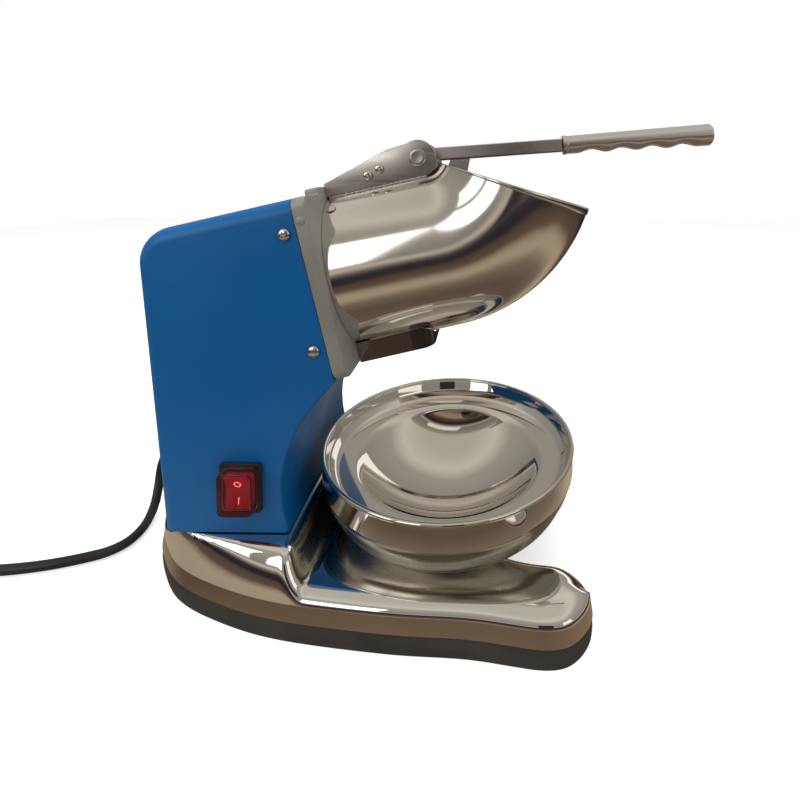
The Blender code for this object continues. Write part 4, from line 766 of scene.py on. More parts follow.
def make_base():
    """Rubber skirt, and the casting as a fine height surface over a tapered side band tinted tan-brown as
    a painted reflection.
    """
    flare = 0.0004
    section = [(0.0016, 0.0), (0.0006, 0.0003), (flare, 0.0012), (0.0, 0.0060), (flare, 0.0108),
               (0.0008, 0.0117), (0.0018, SKIRT_HEIGHT), (SKIRT_WALL, SKIRT_HEIGHT), (SKIRT_WALL, 0.003),
               (SKIRT_WALL + 0.004, 0.003), (SKIRT_WALL + 0.004, 0.0)]
    rings = [[(p[0], p[1], z) for p in loop_inset(d)] for d, z in section]
    piece("skirt", loft(rings, closed=True), "rubber", ROOT, ["rubber_skirt"], sharp=60)

    bm = bmesh.new()
    foot = SKIRT_HEIGHT + GAP

    def ring(distance, heights):
        return [bm.verts.new((p[0], p[1], z)) for p, z in zip(loop_inset(distance), heights)]

    below = [foot] * OUTLINE_POINTS
    crest = casting_height(loop_inset(CREASE_INSET))
    side = [ring(0.0030, below), ring(0.0006, below)]
    side += [ring(CREASE_INSET * share, foot + (crest - foot) * share)
             for share in (0.02, 0.08, 0.3, 0.6, 0.88, 0.96)]
    # The side band takes the second finish, its tan-brown tone a painted reflection
    for first, second in zip(side, side[1:]):
        strip(bm, first, second, 1)
    last = side[-1]
    for depth in (0.0015, 0.0017, 0.0020, 0.0024, 0.0030, 0.0037, 0.0046, 0.0056, 0.0067, 0.0080, 0.0094,
                  0.0110, 0.0128, 0.0148):
        plan = loop_inset(depth)
        band = ring(depth, casting_height(plan))
        strip(bm, last, band)
        last = band
    cells = int(0.2 / BASE_GRID)
    index = np.arange(-cells, cells + 1)
    gx, gy = np.meshgrid(index, index, indexing="ij")
    grid = np.stack([gx * BASE_GRID, (gy + 0.5 * (gx % 2)) * BASE_GRID], axis=2).reshape(-1, 2)
    grid = grid[inside_loop(grid, plan)]
    clear = np.linalg.norm(grid[:, None, :] - plan[None, ::2], axis=2).min(axis=1)
    grid = grid[clear > 0.5 * BASE_GRID]
    flat = [Vector(p) for p in plan] + [Vector(p) for p in grid]
    edges = [(i, (i + 1) % len(plan)) for i in range(len(plan))]
    spots, _, faces, sources, _, _ = delaunay_2d_cdt(flat, edges, [], 1, 1e-7)
    heights = casting_height(np.array([tuple(p) for p in spots]))
    made = []
    for spot, source, height in zip(spots, sources, heights):
        own = [k for k in source if k < len(plan)]
        made.append(last[own[0]] if own else bm.verts.new((spot.x, spot.y, height)))
    for face in faces:
        bm.faces.new([made[k] for k in face])
    piece("base", bm, ["chrome", "side_band_painted_reflection"], ROOT, ["base_casting"], sharp=70)


# Bowl

def make_bowl():
    """Spun bowl: rolled rim, polished band and inside, brushed lower body, open below."""
    seat = PLATEAU_HEIGHT + GAP
    wide = BOWL_RIM_RADIUS
    rim = BOWL_RIM_HEIGHT
    band = rim - BOWL_BAND_HEIGHT
    ledge = rim - BOWL_LEDGE_DEPTH
    wall = BOWL_SHEET
    outer = wide - 0.0006
    foot = BOWL_FOOT_RADIUS
    hem = BOWL_FOOT_HEM
    body = rounded([(foot - hem, seat), (foot, seat), (foot + 0.0125, seat + 0.0095),
                    (wide - 0.0024, band - 0.0060), (outer - 0.0006, band - 0.0002)],
                   [0, 0.0015, 0.030, 0.024, 0], 12, closed=False)
    edge = rounded([(outer - 0.0006, band - 0.0002), (outer, band + 0.0003), (outer, rim - 0.0030)],
                   [0, 0.0003, 0], 4, closed=False)
    roll = BOWL_RIM_ROLL
    bead = [(wide - roll + roll * math.cos(math.radians(a)),
             rim - roll + roll * math.sin(math.radians(a))) for a in range(-30, 211, 20)]
    inner = rounded([(wide - 0.0030, rim - 0.0030), (wide - 0.0050, ledge + 0.0050),
                     (wide - 0.0100, ledge), (BOWL_DISH_RADIUS, ledge - 0.0006)],
                    [0, 0.006, 0.006, 0], 8, closed=False)[:-1]
    dish = []
    steps = 40
    depth = ledge - 0.0010 - BOWL_DISH_FLOOR
    ball = (BOWL_DISH_RADIUS ** 2 + depth ** 2) / (2 * depth)
    for k in range(steps + 1):
        r = BOWL_DISH_RADIUS * (1 - k / steps)
        dish.append((r, BOWL_DISH_FLOOR + ball - math.sqrt(ball ** 2 - r ** 2)))
    lip = rounded([inner[-1], (BOWL_DISH_RADIUS + 0.0016, ledge - 0.0005), dish[1]], [0, 0.006, 0], 8,
                  closed=False)
    dish = [tuple(p) for p in lip[1:]] + dish[2:]
    under = [(r, z - wall) for r, z in reversed(dish)]
    under += [(wide - 0.0105, ledge - wall - 0.0004),
              (wide - 2.6 * wall, band - 0.002), (foot + 0.0105, seat + 0.0110),
              (foot - 0.001, seat + wall), (foot - hem, seat + wall)]
    profile = under + [tuple(p) for p in body]
    body_end = len(profile) - 1
    profile += [tuple(p) for p in edge[1:]] + bead + [tuple(p) for p in inner] + dish
    bm = turn(profile, Matrix.Translation((BOWL_X, 0, 0)), BOWL_SIDES)
    second_finish(bm, len(under) * BOWL_SIDES, body_end * BOWL_SIDES)
    piece("bowl_fine", bm, ["bowl_steel", "bowl_body"], "bowl", ["bowl"], sharp=50)


# Housing

def rear_x(z):
    """Outer face of the leaning rear wall."""
    return HOUSING_REAR_X - HOUSING_REAR_LEAN * (z - PEDESTAL_HEIGHT - GAP)


def make_housing():
    """Folded sheet housing: concave front, round top and rear edges, vents and the switch's opening."""
    bottom = PEDESTAL_HEIGHT + GAP
    top = HOUSING_TOP_N
    front = head_point(-FLANGE_THICKNESS - GAP, 0, top).xz
    slope = math.tan(TILT)
    foot = Vector((rear_x(bottom), bottom))
    reach = (front.y - bottom - slope * (front.x - foot.x)) / (1 + slope * HOUSING_REAR_LEAN)
    corner = Vector((foot.x - HOUSING_REAR_LEAN * reach, bottom + reach))
    round_part = [foot] + fillet(foot, corner, front, HOUSING_TOP_CORNER, 16) + [front]
    low = head_point(-FLANGE_THICKNESS - GAP, 0, FLANGE_BOTTOM_N).xz
    fold = curve_through([low] + PANEL_CURVE, 8)
    outline = round_part + fold
    half = HOUSING_HALF_WIDTH
    bm = bmesh.new()
    sides = [[bm.verts.new((p[0], y, p[1])) for p in outline] for y in (-half, half)]
    strip(bm, sides[0], sides[1])
    soft, crisp = [], []
    count = len(round_part)
    for side in sides:
        bm.faces.new(side)
        for a, b in zip(side[:count], side[1:count]):
            soft.append(bm.edges.get((a, b)))
        for a, b in zip(side[count:], side[count + 1:]):
            crisp.append(bm.edges.get((a, b)))
    bmesh.ops.recalc_face_normals(bm, faces=bm.faces)
    bmesh.ops.bevel(bm, geom=soft, offset=HOUSING_EDGE_RADIUS, segments=12, profile=0.5, affect="EDGES",
                    clamp_overlap=False)
    crisp = [e for e in crisp if e.is_valid]
    bmesh.ops.bevel(bm, geom=crisp, offset=FOLD_RADIUS, segments=5, profile=0.5, affect="EDGES",
                    clamp_overlap=False)
    shell = piece("housing", bm, "blue_paint", ROOT, ["housing_shell", "housing_front_panel"], sharp=30)
    tools = bmesh.new()
    for k in range(VENT_COUNT):
        z = VENT_LOW_Z + k * VENT_PITCH
        x = rear_x(z)
        vent = rounded_rectangle(VENT_LENGTH, VENT_WIDTH, 0.45 * VENT_WIDTH)
        loft([[(x + w, p.x, z + VENT_WIDTH / 2 + p.y) for p in vent] for w in (-0.004, 0.007)], bm=tools)
    wide = SWITCH_BODY_WIDTH / 2 + GAP
    tall = SWITCH_BODY_HEIGHT / 2 + GAP
    add_box(tools, (SWITCH_X - wide, -half - CUT_MARGIN, SWITCH_Z - tall),
            (SWITCH_X + wide, -half + 0.030, SWITCH_Z + tall))
    carve(shell, tools)
    smooth(shell.data, 30)


# Front casting, drum and guard

def make_front_casting():
    """Flange with its tab, cavity and discharge, with eased cast edges."""
    half = HOUSING_HALF_WIDTH + FLANGE_PROUD
    r = FLANGE_CORNER
    tab = HOUSING_TOP_N + TAB_HEIGHT
    corners = [(half, HOUSING_TOP_N), (TAB_HALF_WIDTH, HOUSING_TOP_N), (TAB_HALF_WIDTH, tab),
               (-TAB_HALF_WIDTH, tab), (-TAB_HALF_WIDTH, HOUSING_TOP_N), (-half, HOUSING_TOP_N),
               (-half, FLANGE_BOTTOM_N), (half, FLANGE_BOTTOM_N)]
    outline = rounded(corners, [r, 0.001, 0.003, 0.003, 0.001, r, r, r], 8)
    bm = prism(outline, -FLANGE_THICKNESS, 0.0, head_front, CAST_EDGE)
    flange = piece("front_flange", bm, "cast_aluminium", ROOT, ["front_casting"], sharp=30)
    back = -CAVITY_DEPTH + CAVITY_FLOOR
    tools = bmesh.new()
    middle = HEAD @ TURN_TO_S @ Matrix.Translation((0, 0, (back + CUT_MARGIN) / 2))
    bmesh.ops.create_cone(tools, cap_ends=True, segments=96, radius1=CAVITY_RADIUS, radius2=CAVITY_RADIUS,
                          depth=CUT_MARGIN - back, matrix=middle)
    carve(flange, tools)
    tools = bmesh.new()
    add_box(tools, (back, -DISCHARGE_HALF_WIDTH, FLANGE_BOTTOM_N - CUT_MARGIN),
            (CUT_MARGIN, DISCHARGE_HALF_WIDTH, -DISCHARGE_TOP), HEAD)
    carve(flange, tools)
    smooth(flange.data, 30)
    plug_place = head_point(PLUG_DISC_S, -half, PLUG_DISC_N)
    profile = [(0.0, 0.0002), (0.0024, 0.0002), (0.0026, 0.0001), (0.0029, -0.0002)]
    bm = turn(profile, axis_frame(plug_place, (0, -1, 0)), 32)
    piece("flange_plug", bm, "cast_aluminium", ROOT, [])


def drum_ring(distance, radius):
    """Ring of the drum at a distance along its centreline, straight and then round the elbow."""
    ring = []
    for k in range(DRUM_SIDES):
        angle = 2 * math.pi * k / DRUM_SIDES
        y, n = radius * math.cos(angle), radius * math.sin(angle)
        if distance <= DRUM_LENGTH:
            ring.append(head_point(distance, y, n))
            continue
        bend = (distance - DRUM_LENGTH) / ELBOW_RADIUS
        arm = ELBOW_RADIUS - n
        ring.append(head_point(DRUM_LENGTH + arm * math.sin(bend), y,
                               ELBOW_RADIUS - arm * math.cos(bend)))
    return ring


def make_drum():
    """Polished drum with its elbow mouth and a narrow rolled rim."""
    end = DRUM_LENGTH + ELBOW_RADIUS * ELBOW_ANGLE
    neck = end - RIM_BEAD_LENGTH
    stations = [GAP + DRUM_LENGTH * k / 10 for k in range(10)] + [DRUM_LENGTH]
    steps = 44
    stations += [DRUM_LENGTH + (neck - DRUM_LENGTH) * k / steps for k in range(1, steps + 1)]
    outer = [drum_ring(d, DRUM_RADIUS) for d in stations]
    for k in range(1, 9):
        angle = math.pi * k / 9
        outer.append(drum_ring(neck + RIM_BEAD_LENGTH * (1 - math.cos(angle)) / 2,
                               DRUM_RADIUS + RIM_BEAD * math.sin(angle)))
    inner = [drum_ring(d, DRUM_RADIUS - DRUM_WALL)
             for d in stations + [neck + 0.5 * RIM_BEAD_LENGTH, end - GAP]]
    bm = loft(outer + inner[::-1], closed=True)
    second_finish(bm, len(outer) * DRUM_SIDES)
    piece("drum_fine", bm, ["polished_steel", "drum_inside"], ROOT, ["drum"], sharp=50)
    for k, side in enumerate((-1, 1)):
        out = Vector((0, side * math.sin(RIVET_ANGLE), math.cos(RIVET_ANGLE)))
        place = HEAD @ (Vector((RIVET_S, 0, 0)) + out * (DRUM_RADIUS + GAP))
        profile = [(0.0, 0.0), (RIVET_RADIUS, 0.0)] + dome(RIVET_RADIUS, RIVET_EDGE, RIVET_DOME, 8)
        bm = turn(profile, axis_frame(place, HEAD.to_3x3() @ out), 32)
        piece("rivet_%d" % (k + 1), bm, "screw_steel", ROOT, ["drum_rivet_%d" % (k + 1)])


def make_guard():
    """Open-bottomed guard under the drum whose top follows the drum; black on its sides towards the end
    as a painted dark reflection.
    """
    path = [Vector((GAP, -GUARD_HALF_WIDTH)), Vector((GUARD_DARK_BAND_START, -GUARD_HALF_WIDTH))]
    path += fillet((GAP, -GUARD_HALF_WIDTH), (GUARD_LENGTH, -GUARD_HALF_WIDTH), (GUARD_LENGTH, 0.0),
                   GUARD_CORNER, 16)
    straight = GUARD_HALF_WIDTH - GUARD_CORNER
    path += [Vector((GUARD_LENGTH, -straight * (1 - k / 12))) for k in range(1, 13)]
    path += [Vector((p.x, -p.y)) for p in reversed(path[:-1])]
    rings = []
    clear = DRUM_RADIUS + 2 * GAP
    low = FLANGE_BOTTOM_N - GUARD_DROP
    for i, point in enumerate(path):
        along = (path[min(i + 1, len(path) - 1)] - path[max(i - 1, 0)]).normalized()
        inward = Vector((-along.y, along.x)) * GUARD_SHEET
        top = -math.sqrt(clear ** 2 - abs(point.y) ** 2) - GAP
        ease = 0.0003
        section = ((0.0, top), (1.0, top), (1.0, low + ease), (0.8, low), (0.2, low), (0.0, low + ease))
        ring = []
        for share, n in section:
            spot = point + inward * share
            ring.append(head_point(spot.x, spot.y, n))
        rings.append(ring)
    guard = piece("guard", loft(rings), "guard_steel", ROOT, ["spout_guard"], sharp=30)
    # Black plastic finish on the guard's sides past the band start: a painted dark reflection on the
    # bright sheet
    guard.data.materials.append(FINISH["black_plastic"])
    inverse = HEAD.inverted()
    for face in guard.data.polygons:
        spot = inverse @ (guard.matrix_world @ face.center)
        side = inverse.to_3x3() @ face.normal
        if GUARD_DARK_BAND_START < spot.x < GUARD_LENGTH - 0.15 * GUARD_CORNER and abs(side.y) > 0.3:
            face.material_index = 1


# Bracket and lever

def make_bracket():
    """Side plates with eased edges, weld beads and the pivot pin."""
    base_n = math.sqrt((DRUM_RADIUS + GAP) ** 2 - (BRACKET_HALF_WIDTH - BRACKET_SHEET) ** 2) + GAP
    reach = PIVOT_S + BRACKET_END_RADIUS
    arc = []
    for k in range(25):
        angle = math.radians(115) * (1 - k / 24)
        arc.append((PIVOT_S + BRACKET_END_RADIUS * math.cos(angle),
                    PIVOT_N + BRACKET_END_RADIUS * math.sin(angle)))
    front = min(reach, DRUM_LENGTH + 0.002)
    outline = [(front, base_n), (GAP, base_n), (GAP, BRACKET_REAR_N), (BRACKET_STEP_S, BRACKET_STEP_N)]
    outline += arc + [(reach, base_n + 0.004)]
    inner = BRACKET_HALF_WIDTH - BRACKET_SHEET
    for name, side in (("near", -1), ("far", 1)):
        low, high = sorted((side * inner, side * BRACKET_HALF_WIDTH))
        piece("bracket_" + name, prism(outline, low, high, head_side, 0.0004), "brushed_steel", ROOT,
              ["bracket_side_" + name], sharp=50)
        rings = []
        count = 150
        for k in range(count + 1):
            s = 0.002 + (front - 0.004) * k / count
            size = 0.00075 + 0.00016 * math.sin(k * 1.9) + 0.00012 * math.sin(k * 0.73 + 1.0)
            across = BRACKET_HALF_WIDTH * side
            down = math.sqrt(DRUM_RADIUS ** 2 - BRACKET_HALF_WIDTH ** 2) + 0.0004
            rings.append([head_point(s, across + size * math.cos(a), down + size * math.sin(a))
                          for a in [2 * math.pi * j / 10 for j in range(10)]])
        piece("weld_bracket_" + name, loft(rings), "brushed_steel", ROOT, [], sharp=60)
    pin = axis_frame(head_point(PIVOT_S, 0, PIVOT_N), (0, 1, 0))
    end = BRACKET_HALF_WIDTH + GAP
    dome = 0.35 * PIN_HEAD
    wide = PIN_HEAD_RADIUS
    head = [(0.0, PIN_HEAD - 0.0004), (0.55 * wide, PIN_HEAD - 0.0002), (0.75 * wide, PIN_HEAD),
            (0.90 * wide, PIN_HEAD - 0.3 * dome), (wide, PIN_HEAD - dome), (wide, 0.0), (PIN_RADIUS, 0.0)]
    profile = [(r, -end - h) for r, h in head] + [(r, end + h) for r, h in reversed(head)]
    piece("pin", turn(profile, pin, 64), "brushed_steel", ROOT, ["pivot_pin"], sharp=30)


def bar_ring(x, half, ease, place, sides=48):
    """Cross-section of the bar: a square whose corners are eased by a share."""
    power = 2 + 10 * ease
    ring = []
    for k in range(sides):
        angle = 2 * math.pi * (k + 0.5) / sides
        c, s = math.cos(angle), math.sin(angle)
        radius = half / (abs(c) ** power + abs(s) ** power) ** (1 / power)
        ring.append(place @ Vector((x, radius * c, radius * s)))
    return ring


def make_lever():
    """Hub, square bar and the polished grip with finger waves below."""
    place = Matrix.Translation(head_point(PIVOT_S, 0, PIVOT_N)) @ Matrix.Rotation(-LEVER_RISE, 4, "Y")
    half = BRACKET_HALF_WIDTH - BRACKET_SHEET - 2 * GAP
    bore = PIN_RADIUS + GAP
    hub = rounded([(bore, -half), (HUB_RADIUS, -half), (HUB_RADIUS, half), (bore, half)],
                  [0, 0.0006, 0.0006, 0], 4)
    bm = turn([tuple(p) for p in hub], axis_frame(place.translation, (0, 1, 0)), 96, loop=True)
    piece("hub", bm, "brushed_steel", "lever", ["lever_hub"], sharp=30)
    place = place @ Matrix.Translation((0, 0, BAR_RAISE))
    start = HUB_RADIUS + GAP
    spots = [start, start + 0.0004] + [start + (BAR_END - start) * k / 12 for k in range(1, 12)]
    ease = 0.0004
    rings = [bar_ring(x, BAR_WIDTH / 2 - (ease if x == start else 0.0), 1.0, place)
             for x in spots + [BAR_END - ease]]
    rings.append(bar_ring(BAR_END, BAR_WIDTH / 2 - ease, 1.0, place))
    piece("bar", loft(rings), "lever_steel", "lever", ["lever_bar"], sharp=30)
    grip_end = (GRIP_END_X - place.translation.x) / math.cos(LEVER_RISE)
    span = grip_end - GRIP_START

    def outer(x):
        return GRIP_RADIUS + (GRIP_END_RADIUS - GRIP_RADIUS) * (x - GRIP_START) / span

    neck = outer(GRIP_START)
    collar = ((0.0, 0.0002), (0.0005, 0.0006), (0.0005, 0.0026), (0.0001, 0.0031), (0.0, 0.0036))
    profile = [(0.0045, GRIP_START + 0.0002)] + [(neck + rise, GRIP_START + x) for rise, x in collar]
    steps = 110
    for k in range(steps + 1):
        x = GRIP_START + 0.0040 + (span - 0.0065) * k / steps
        profile.append((outer(x), x))
    for k in range(1, 11):
        angle = math.pi / 2 * k / 10
        profile.append((GRIP_END_RADIUS * (0.30 + 0.70 * math.cos(angle)),
                        grip_end - 0.0025 + 0.0025 * math.sin(angle)))
    profile.append((0.0, grip_end))
    waves = (span - 2 * GRIP_CAP) / FINGER_VALLEYS

    def finger(radius, x, angle):
        under = max(0.0, -math.sin(angle)) ** 2
        t = (x - GRIP_START - GRIP_CAP) / waves
        inside = 0.0 < t < FINGER_VALLEYS
        return radius - FINGER_DEPTH * under * (1 - math.cos(2 * math.pi * t)) * inside

    along = place @ TURN_TO_S @ Matrix.Rotation(math.pi / 2, 4, "Z")
    piece("grip", turn(profile, along, 72, radius_at=finger), "lever_steel", "lever", ["lever_grip"],
          sharp=30)


# Screws

def screw_mesh(name, head):
    """Pan head with a washer rim and a cross recess; Z points out of the surface."""
    height = SCREW_HEAD_HEIGHT
    profile = [(0.0, GAP), (head, GAP)] + dome(head, GAP + 0.25 * height, 0.75 * height, 10)
    mesh = fill_mesh(name, turn(profile, Matrix.Identity(4), 48))
    mesh.materials.append(FINISH["screw_steel"])
    item = bpy.data.objects.new(name, mesh)
    bpy.context.scene.collection.objects.link(item)
    arm, width = 0.58 * head, 0.13 * head
    star = []
    for k in range(4):
        spin = Matrix.Rotation(k * math.pi / 2, 2)
        star += [spin @ Vector(p) for p in ((arm, -width), (arm, width), (1.4 * width, 1.4 * width))]
    carve(item, loft([[(p.x * share, p.y * share, z) for p in star]
                      for z, share in ((GAP + 0.35 * height, 0.45), (GAP + 1.2 * height, 1.1))]))
    result = item.data
    bpy.data.objects.remove(item)
    smooth(result, 35)
    return result


def make_screws():
    """Housing and bracket screws from two shared head meshes."""
    large = screw_mesh("head_large", SCREW_HEAD)
    small = screw_mesh("head_small", BRACKET_SCREW_HEAD)
    housing = [(SCREW_S, SCREW_N), (SCREW_S, -SCREW_N)]
    count = 0
    for family, mesh, across, spots in (("housing", large, HOUSING_HALF_WIDTH, housing),
                                        ("bracket", small, BRACKET_HALF_WIDTH, BRACKET_SCREWS)):
        for number, (side, (s, n)) in enumerate([(side, spot) for side in (-1, 1) for spot in spots], 1):
            node = "%s_screw_%d" % (family, number)
            item = bpy.data.objects.new(node + "_head", mesh)
            place = axis_frame(head_point(s, side * across, n), (0, side, 0))
            item.matrix_world = place @ Matrix.Rotation(0.4 + 1.3 * count, 4, "Z")
            register(item, ROOT, [node])
            count += 1


# Switch

def make_switch():
    """Bezel with its well, the red rocker with its two marks, both lit by a painted glow, and the clear
    cover.
    """
    wall = -HOUSING_HALF_WIDTH
    face = wall - GAP - BEZEL_THICKNESS

    def panel(u, v, w):
        return Vector((SWITCH_X + u, w, SWITCH_Z + v))

    bezel = rounded_rectangle(BEZEL_WIDTH, BEZEL_HEIGHT, 0.002)
    bm = prism(bezel, face, wall - GAP, panel, 0.0006)
    body = piece("switch_bezel", bm, "black_plastic", ROOT, ["switch_body"], sharp=30)
    half_w = SWITCH_BODY_WIDTH / 2 - WELL_MARGIN
    half_h = SWITCH_BODY_HEIGHT / 2 - WELL_MARGIN
    tools = bmesh.new()
    add_box(tools, (SWITCH_X - half_w, face - 0.001, SWITCH_Z - half_h),
            (SWITCH_X + half_w, face + WELL_DEPTH, SWITCH_Z + half_h))
    carve(body, tools)
    body.data.set_sharp_from_angle(angle=math.radians(30))
    outer = rounded_rectangle(SWITCH_BODY_WIDTH, SWITCH_BODY_HEIGHT, 0.001)
    inner = rounded_rectangle(2 * half_w, 2 * half_h, 0.0008)
    well = loft([[panel(p.x, p.y, wall + w) for p in shape]
                 for shape, w in ((outer, 0.012), (outer, GAP), (inner, GAP), (inner, 0.0048))])
    piece("switch_well", well, "black_plastic", ROOT, [], sharp=30)

    axis_y = face + 0.0025
    tilt = Matrix.Translation((SWITCH_X, axis_y, SWITCH_Z)) @ Matrix.Rotation(ROCKER_TILT, 4, "X")
    half = ROCKER_LENGTH / 2
    section = [(0.0035, -0.55 * half), (0.0035, 0.55 * half), (-0.0015, half)]
    section += curve_through([(-0.0058, half), (-0.0046, 0.45 * half), (-0.0042, 0.0),
                              (-0.0046, -0.45 * half), (-0.0058, -half)], 6)
    section.append((-0.0015, -half))
    width = ROCKER_WIDTH / 2
    bm = prism(section, -width, width, lambda u, v, w: tilt @ Vector((w, u, v)), 0.0004)
    # The rocker's finish glows: painted light
    piece("rocker_fine", bm, "red_plastic", "rocker", ["switch_rocker"], sharp=30)
    marks = bmesh.new()
    steps = 40
    for k in range(steps):
        quad = []
        for end, radius in ((0, MARK_RADIUS), (1, MARK_RADIUS), (1, MARK_INNER), (0, MARK_INNER)):
            angle = 2 * math.pi * (k + end) / steps
            v = 0.52 * half + radius * math.sin(angle)
            depth = -MARK_LIFT - MARK_SLOPE * (v - MARK_MIDDLE)
            quad.append(marks.verts.new(tilt @ Vector((radius * math.cos(angle), depth, v))))
        marks.faces.new(quad)
    low, high = -0.72 * half, -0.34 * half
    bar = [(-MARK_BAR, low), (MARK_BAR, low), (MARK_BAR, high), (-MARK_BAR, high)]
    marks.faces.new([marks.verts.new(tilt @ Vector((u, -MARK_LIFT + MARK_SLOPE * (v + MARK_MIDDLE), v)))
                     for u, v in bar])
    bmesh.ops.solidify(marks, geom=marks.faces[:], thickness=0.0001)
    # The marks' finish glows: painted light
    piece("rocker_marks", marks, "mark_white", "rocker", [])

    base = face - GAP
    top = base - COVER_HEIGHT
    rings = []
    corner = COVER_CORNER
    sections = [(2 * COVER_WALL, corner - 0.0007, base), (0.0, corner, base), (0.0, corner, top + 0.0012),
                (0.0005, corner - 0.0001, top + 0.0004), (0.0020, corner - 0.0005, top)]
    for less, radius, w in sections:
        shape = rounded_rectangle(COVER_WIDTH - less, COVER_LENGTH - less, radius)
        rings.append([panel(p.x, p.y, w) for p in shape])
    less = 2 * COVER_WALL + 0.001
    shape = rounded_rectangle(COVER_WIDTH - less, COVER_LENGTH - less, corner - 0.0007)
    inside = [panel(p.x, p.y, top + COVER_WALL) for p in shape]
    piece("cover", loft([inside] + rings), "clear_cover", ROOT, ["switch_cap"], sharp=40)


# Cord

def coil_points():
    """Two-layer coil: in along the floor layer, up during the half turn inside, and out on top."""
    low = COIL_LIFT + CORD_DIAMETER / 2
    spiral = COIL_TURNS * 2 * math.pi
    climb = math.pi
    total = 2 * spiral + climb
    count = round(total / (2 * math.pi / COIL_POINTS))
    points = []
    for k in range(count + 1):
        angle = total * k / count
        inward = max(0.0, spiral - angle)
        outward = max(0.0, angle - spiral - climb)
        rise = max(0.0, min(1.0, (angle - spiral) / climb))
        radius = COIL_INNER + COIL_PITCH * (inward + outward) / (2 * math.pi)
        radius -= COIL_DIP * math.sin(math.pi * rise)
        height = low + COIL_LAYER * float(smooth_step(rise))
        angle += math.pi / 2
        points.append(Vector((COIL_X + radius * math.cos(angle), COIL_Y + radius * math.sin(angle),
                              height)))
    return points


def make_cord():
    """The cord as one curve with its gland, tie and plug."""
    coil = coil_points()
    first, last = coil[0], coil[-1]
    outward = Vector((last.x - COIL_X, last.y - COIL_Y, 0)).normalized()
    onward = Vector((-outward.y, outward.x, 0))
    lead = [first + Vector((COIL_LEAD * k, 0, 0)) for k in (1.0, 0.75, 0.5, 0.25)]
    tail = [last + onward * COIL_TAIL * k for k in (0.35, 0.7, 1.0)]
    route = curve_through(CORD_ROUTE + [lead[0]], 3)
    path = route + lead[1:] + coil + tail
    curve = bpy.data.curves.new("cord_line", "CURVE")
    curve.dimensions = "3D"
    curve.bevel_depth = CORD_DIAMETER / 2
    curve.bevel_resolution = 5
    curve.use_fill_caps = True
    spline = curve.splines.new("POLY")
    spline.points.add(len(path) - 1)
    for point, spot in zip(spline.points, path):
        point.co = (*spot, 1.0)
    curve.materials.append(FINISH["cord_sheath"])
    line = register(bpy.data.objects.new("cord_line", curve), ROOT, ["cord", "cord_coil"])

    gland_frame = axis_frame((rear_x(GLAND_Z), GLAND_Y, GLAND_Z), (-1, 0, -0.04))
    bore = CORD_DIAMETER / 2 + 0.0004
    collar = GLAND_ROOT + 0.002
    profile = [(bore, 0.0), (GLAND_TIP, 0.0), (GLAND_TIP, GAP), (collar - 0.0004, GAP), (collar, 0.0007),
               (collar, 0.0026), (collar - 0.0005, 0.0031), (GLAND_ROOT + 0.0003, 0.0034)]
    ribs = 6
    for k in range(ribs):
        for share, drop in ((0.05, 0.0), (0.55, 0.0), (0.65, 0.0008), (0.95, 0.0008)):
            x = 0.0040 + (GLAND_LENGTH - 0.0050) * (k + share) / ribs
            radius = GLAND_ROOT + (GLAND_TIP - GLAND_ROOT) * x / GLAND_LENGTH
            profile.append((radius - drop, x))
    profile += [(GLAND_TIP, GLAND_LENGTH - 0.0006), (bore, GLAND_LENGTH)]
    bm = turn(profile, gland_frame, 40, loop=True)
    gland = piece("gland", bm, "black_plastic", ROOT, ["cord_gland"], sharp=30)

    middle = COIL_INNER + COIL_PITCH * COIL_TURNS / 2
    width = COIL_PITCH * (COIL_TURNS + 0.5) + CORD_DIAMETER + 2 * TIE_SLACK
    height = COIL_LAYER + CORD_DIAMETER + 2 * GAP
    inner = rounded_rectangle(width, height, CORD_DIAMETER / 2)
    outer = rounded_rectangle(width + 2 * TIE_SHEET, height + 2 * TIE_SHEET,
                              CORD_DIAMETER / 2 + TIE_SHEET)
    centre = COIL_LIFT + (COIL_LAYER + CORD_DIAMETER) / 2
    loops = []
    for shape, w in ((inner, -1), (outer, -1), (outer, 1), (inner, 1)):
        loops.append([(COIL_X + w * TIE_WIDTH / 2, COIL_Y - middle - p.x, centre + p.y) for p in shape])
    tie = piece("tie", loft(loops, closed=True), "black_plastic", ROOT, ["cord_tie"], sharp=30)

    plug_frame = axis_frame(last + onward * (COIL_TAIL + GAP), onward)
    rings = []
    neck = PLUG_NECK
    sections = [(0.0, neck - 0.001, neck - 0.001), (0.02, neck, neck), (0.33, 1.16 * neck, 1.12 * neck),
                (0.38, 1.3 * neck, 1.18 * neck), (0.46, PLUG_WIDTH - 0.002, PLUG_HEIGHT - 0.001),
                (0.50, PLUG_WIDTH, PLUG_HEIGHT), (0.97, PLUG_WIDTH, PLUG_HEIGHT),
                (1.0, PLUG_WIDTH - 0.0014, PLUG_HEIGHT - 0.0014)]
    for share, wide, high in sections:
        shape = rounded_rectangle(wide, high, 0.36 * neck, 8)
        rings.append([plug_frame @ Vector((p.y, p.x, share * PLUG_LENGTH)) for p in shape])
    plug = piece("plug_body", loft(rings), "black_plastic", ROOT, ["plug"], sharp=30)


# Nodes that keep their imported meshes

def dress_nodes():
    """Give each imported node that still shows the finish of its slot."""
    finishes = {
        "brushed_steel": ("pusher_arm", "pusher_plate", "bracket_bridge", "blade_disc"),
        "polished_steel": ("blade_1", "blade_2"), "brass": ("plug_pin_1", "plug_pin_2"),
        "sheet_steel": ("bottom_plate", "motor_case"), "black_plastic": ("terminal_block", "cooling_fan"),
        "lamination": ("rotor", "stator_core"), "cast_aluminium": ("front_bell", "rear_bell"),
        "screw_steel": ("motor_shaft", "bearing_front", "bearing_rear", "disc_nut")}
    for finish, names in finishes.items():
        for name in names:
            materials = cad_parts[name].data.materials
            materials.clear()
            materials.append(FINISH[finish])


# Studio

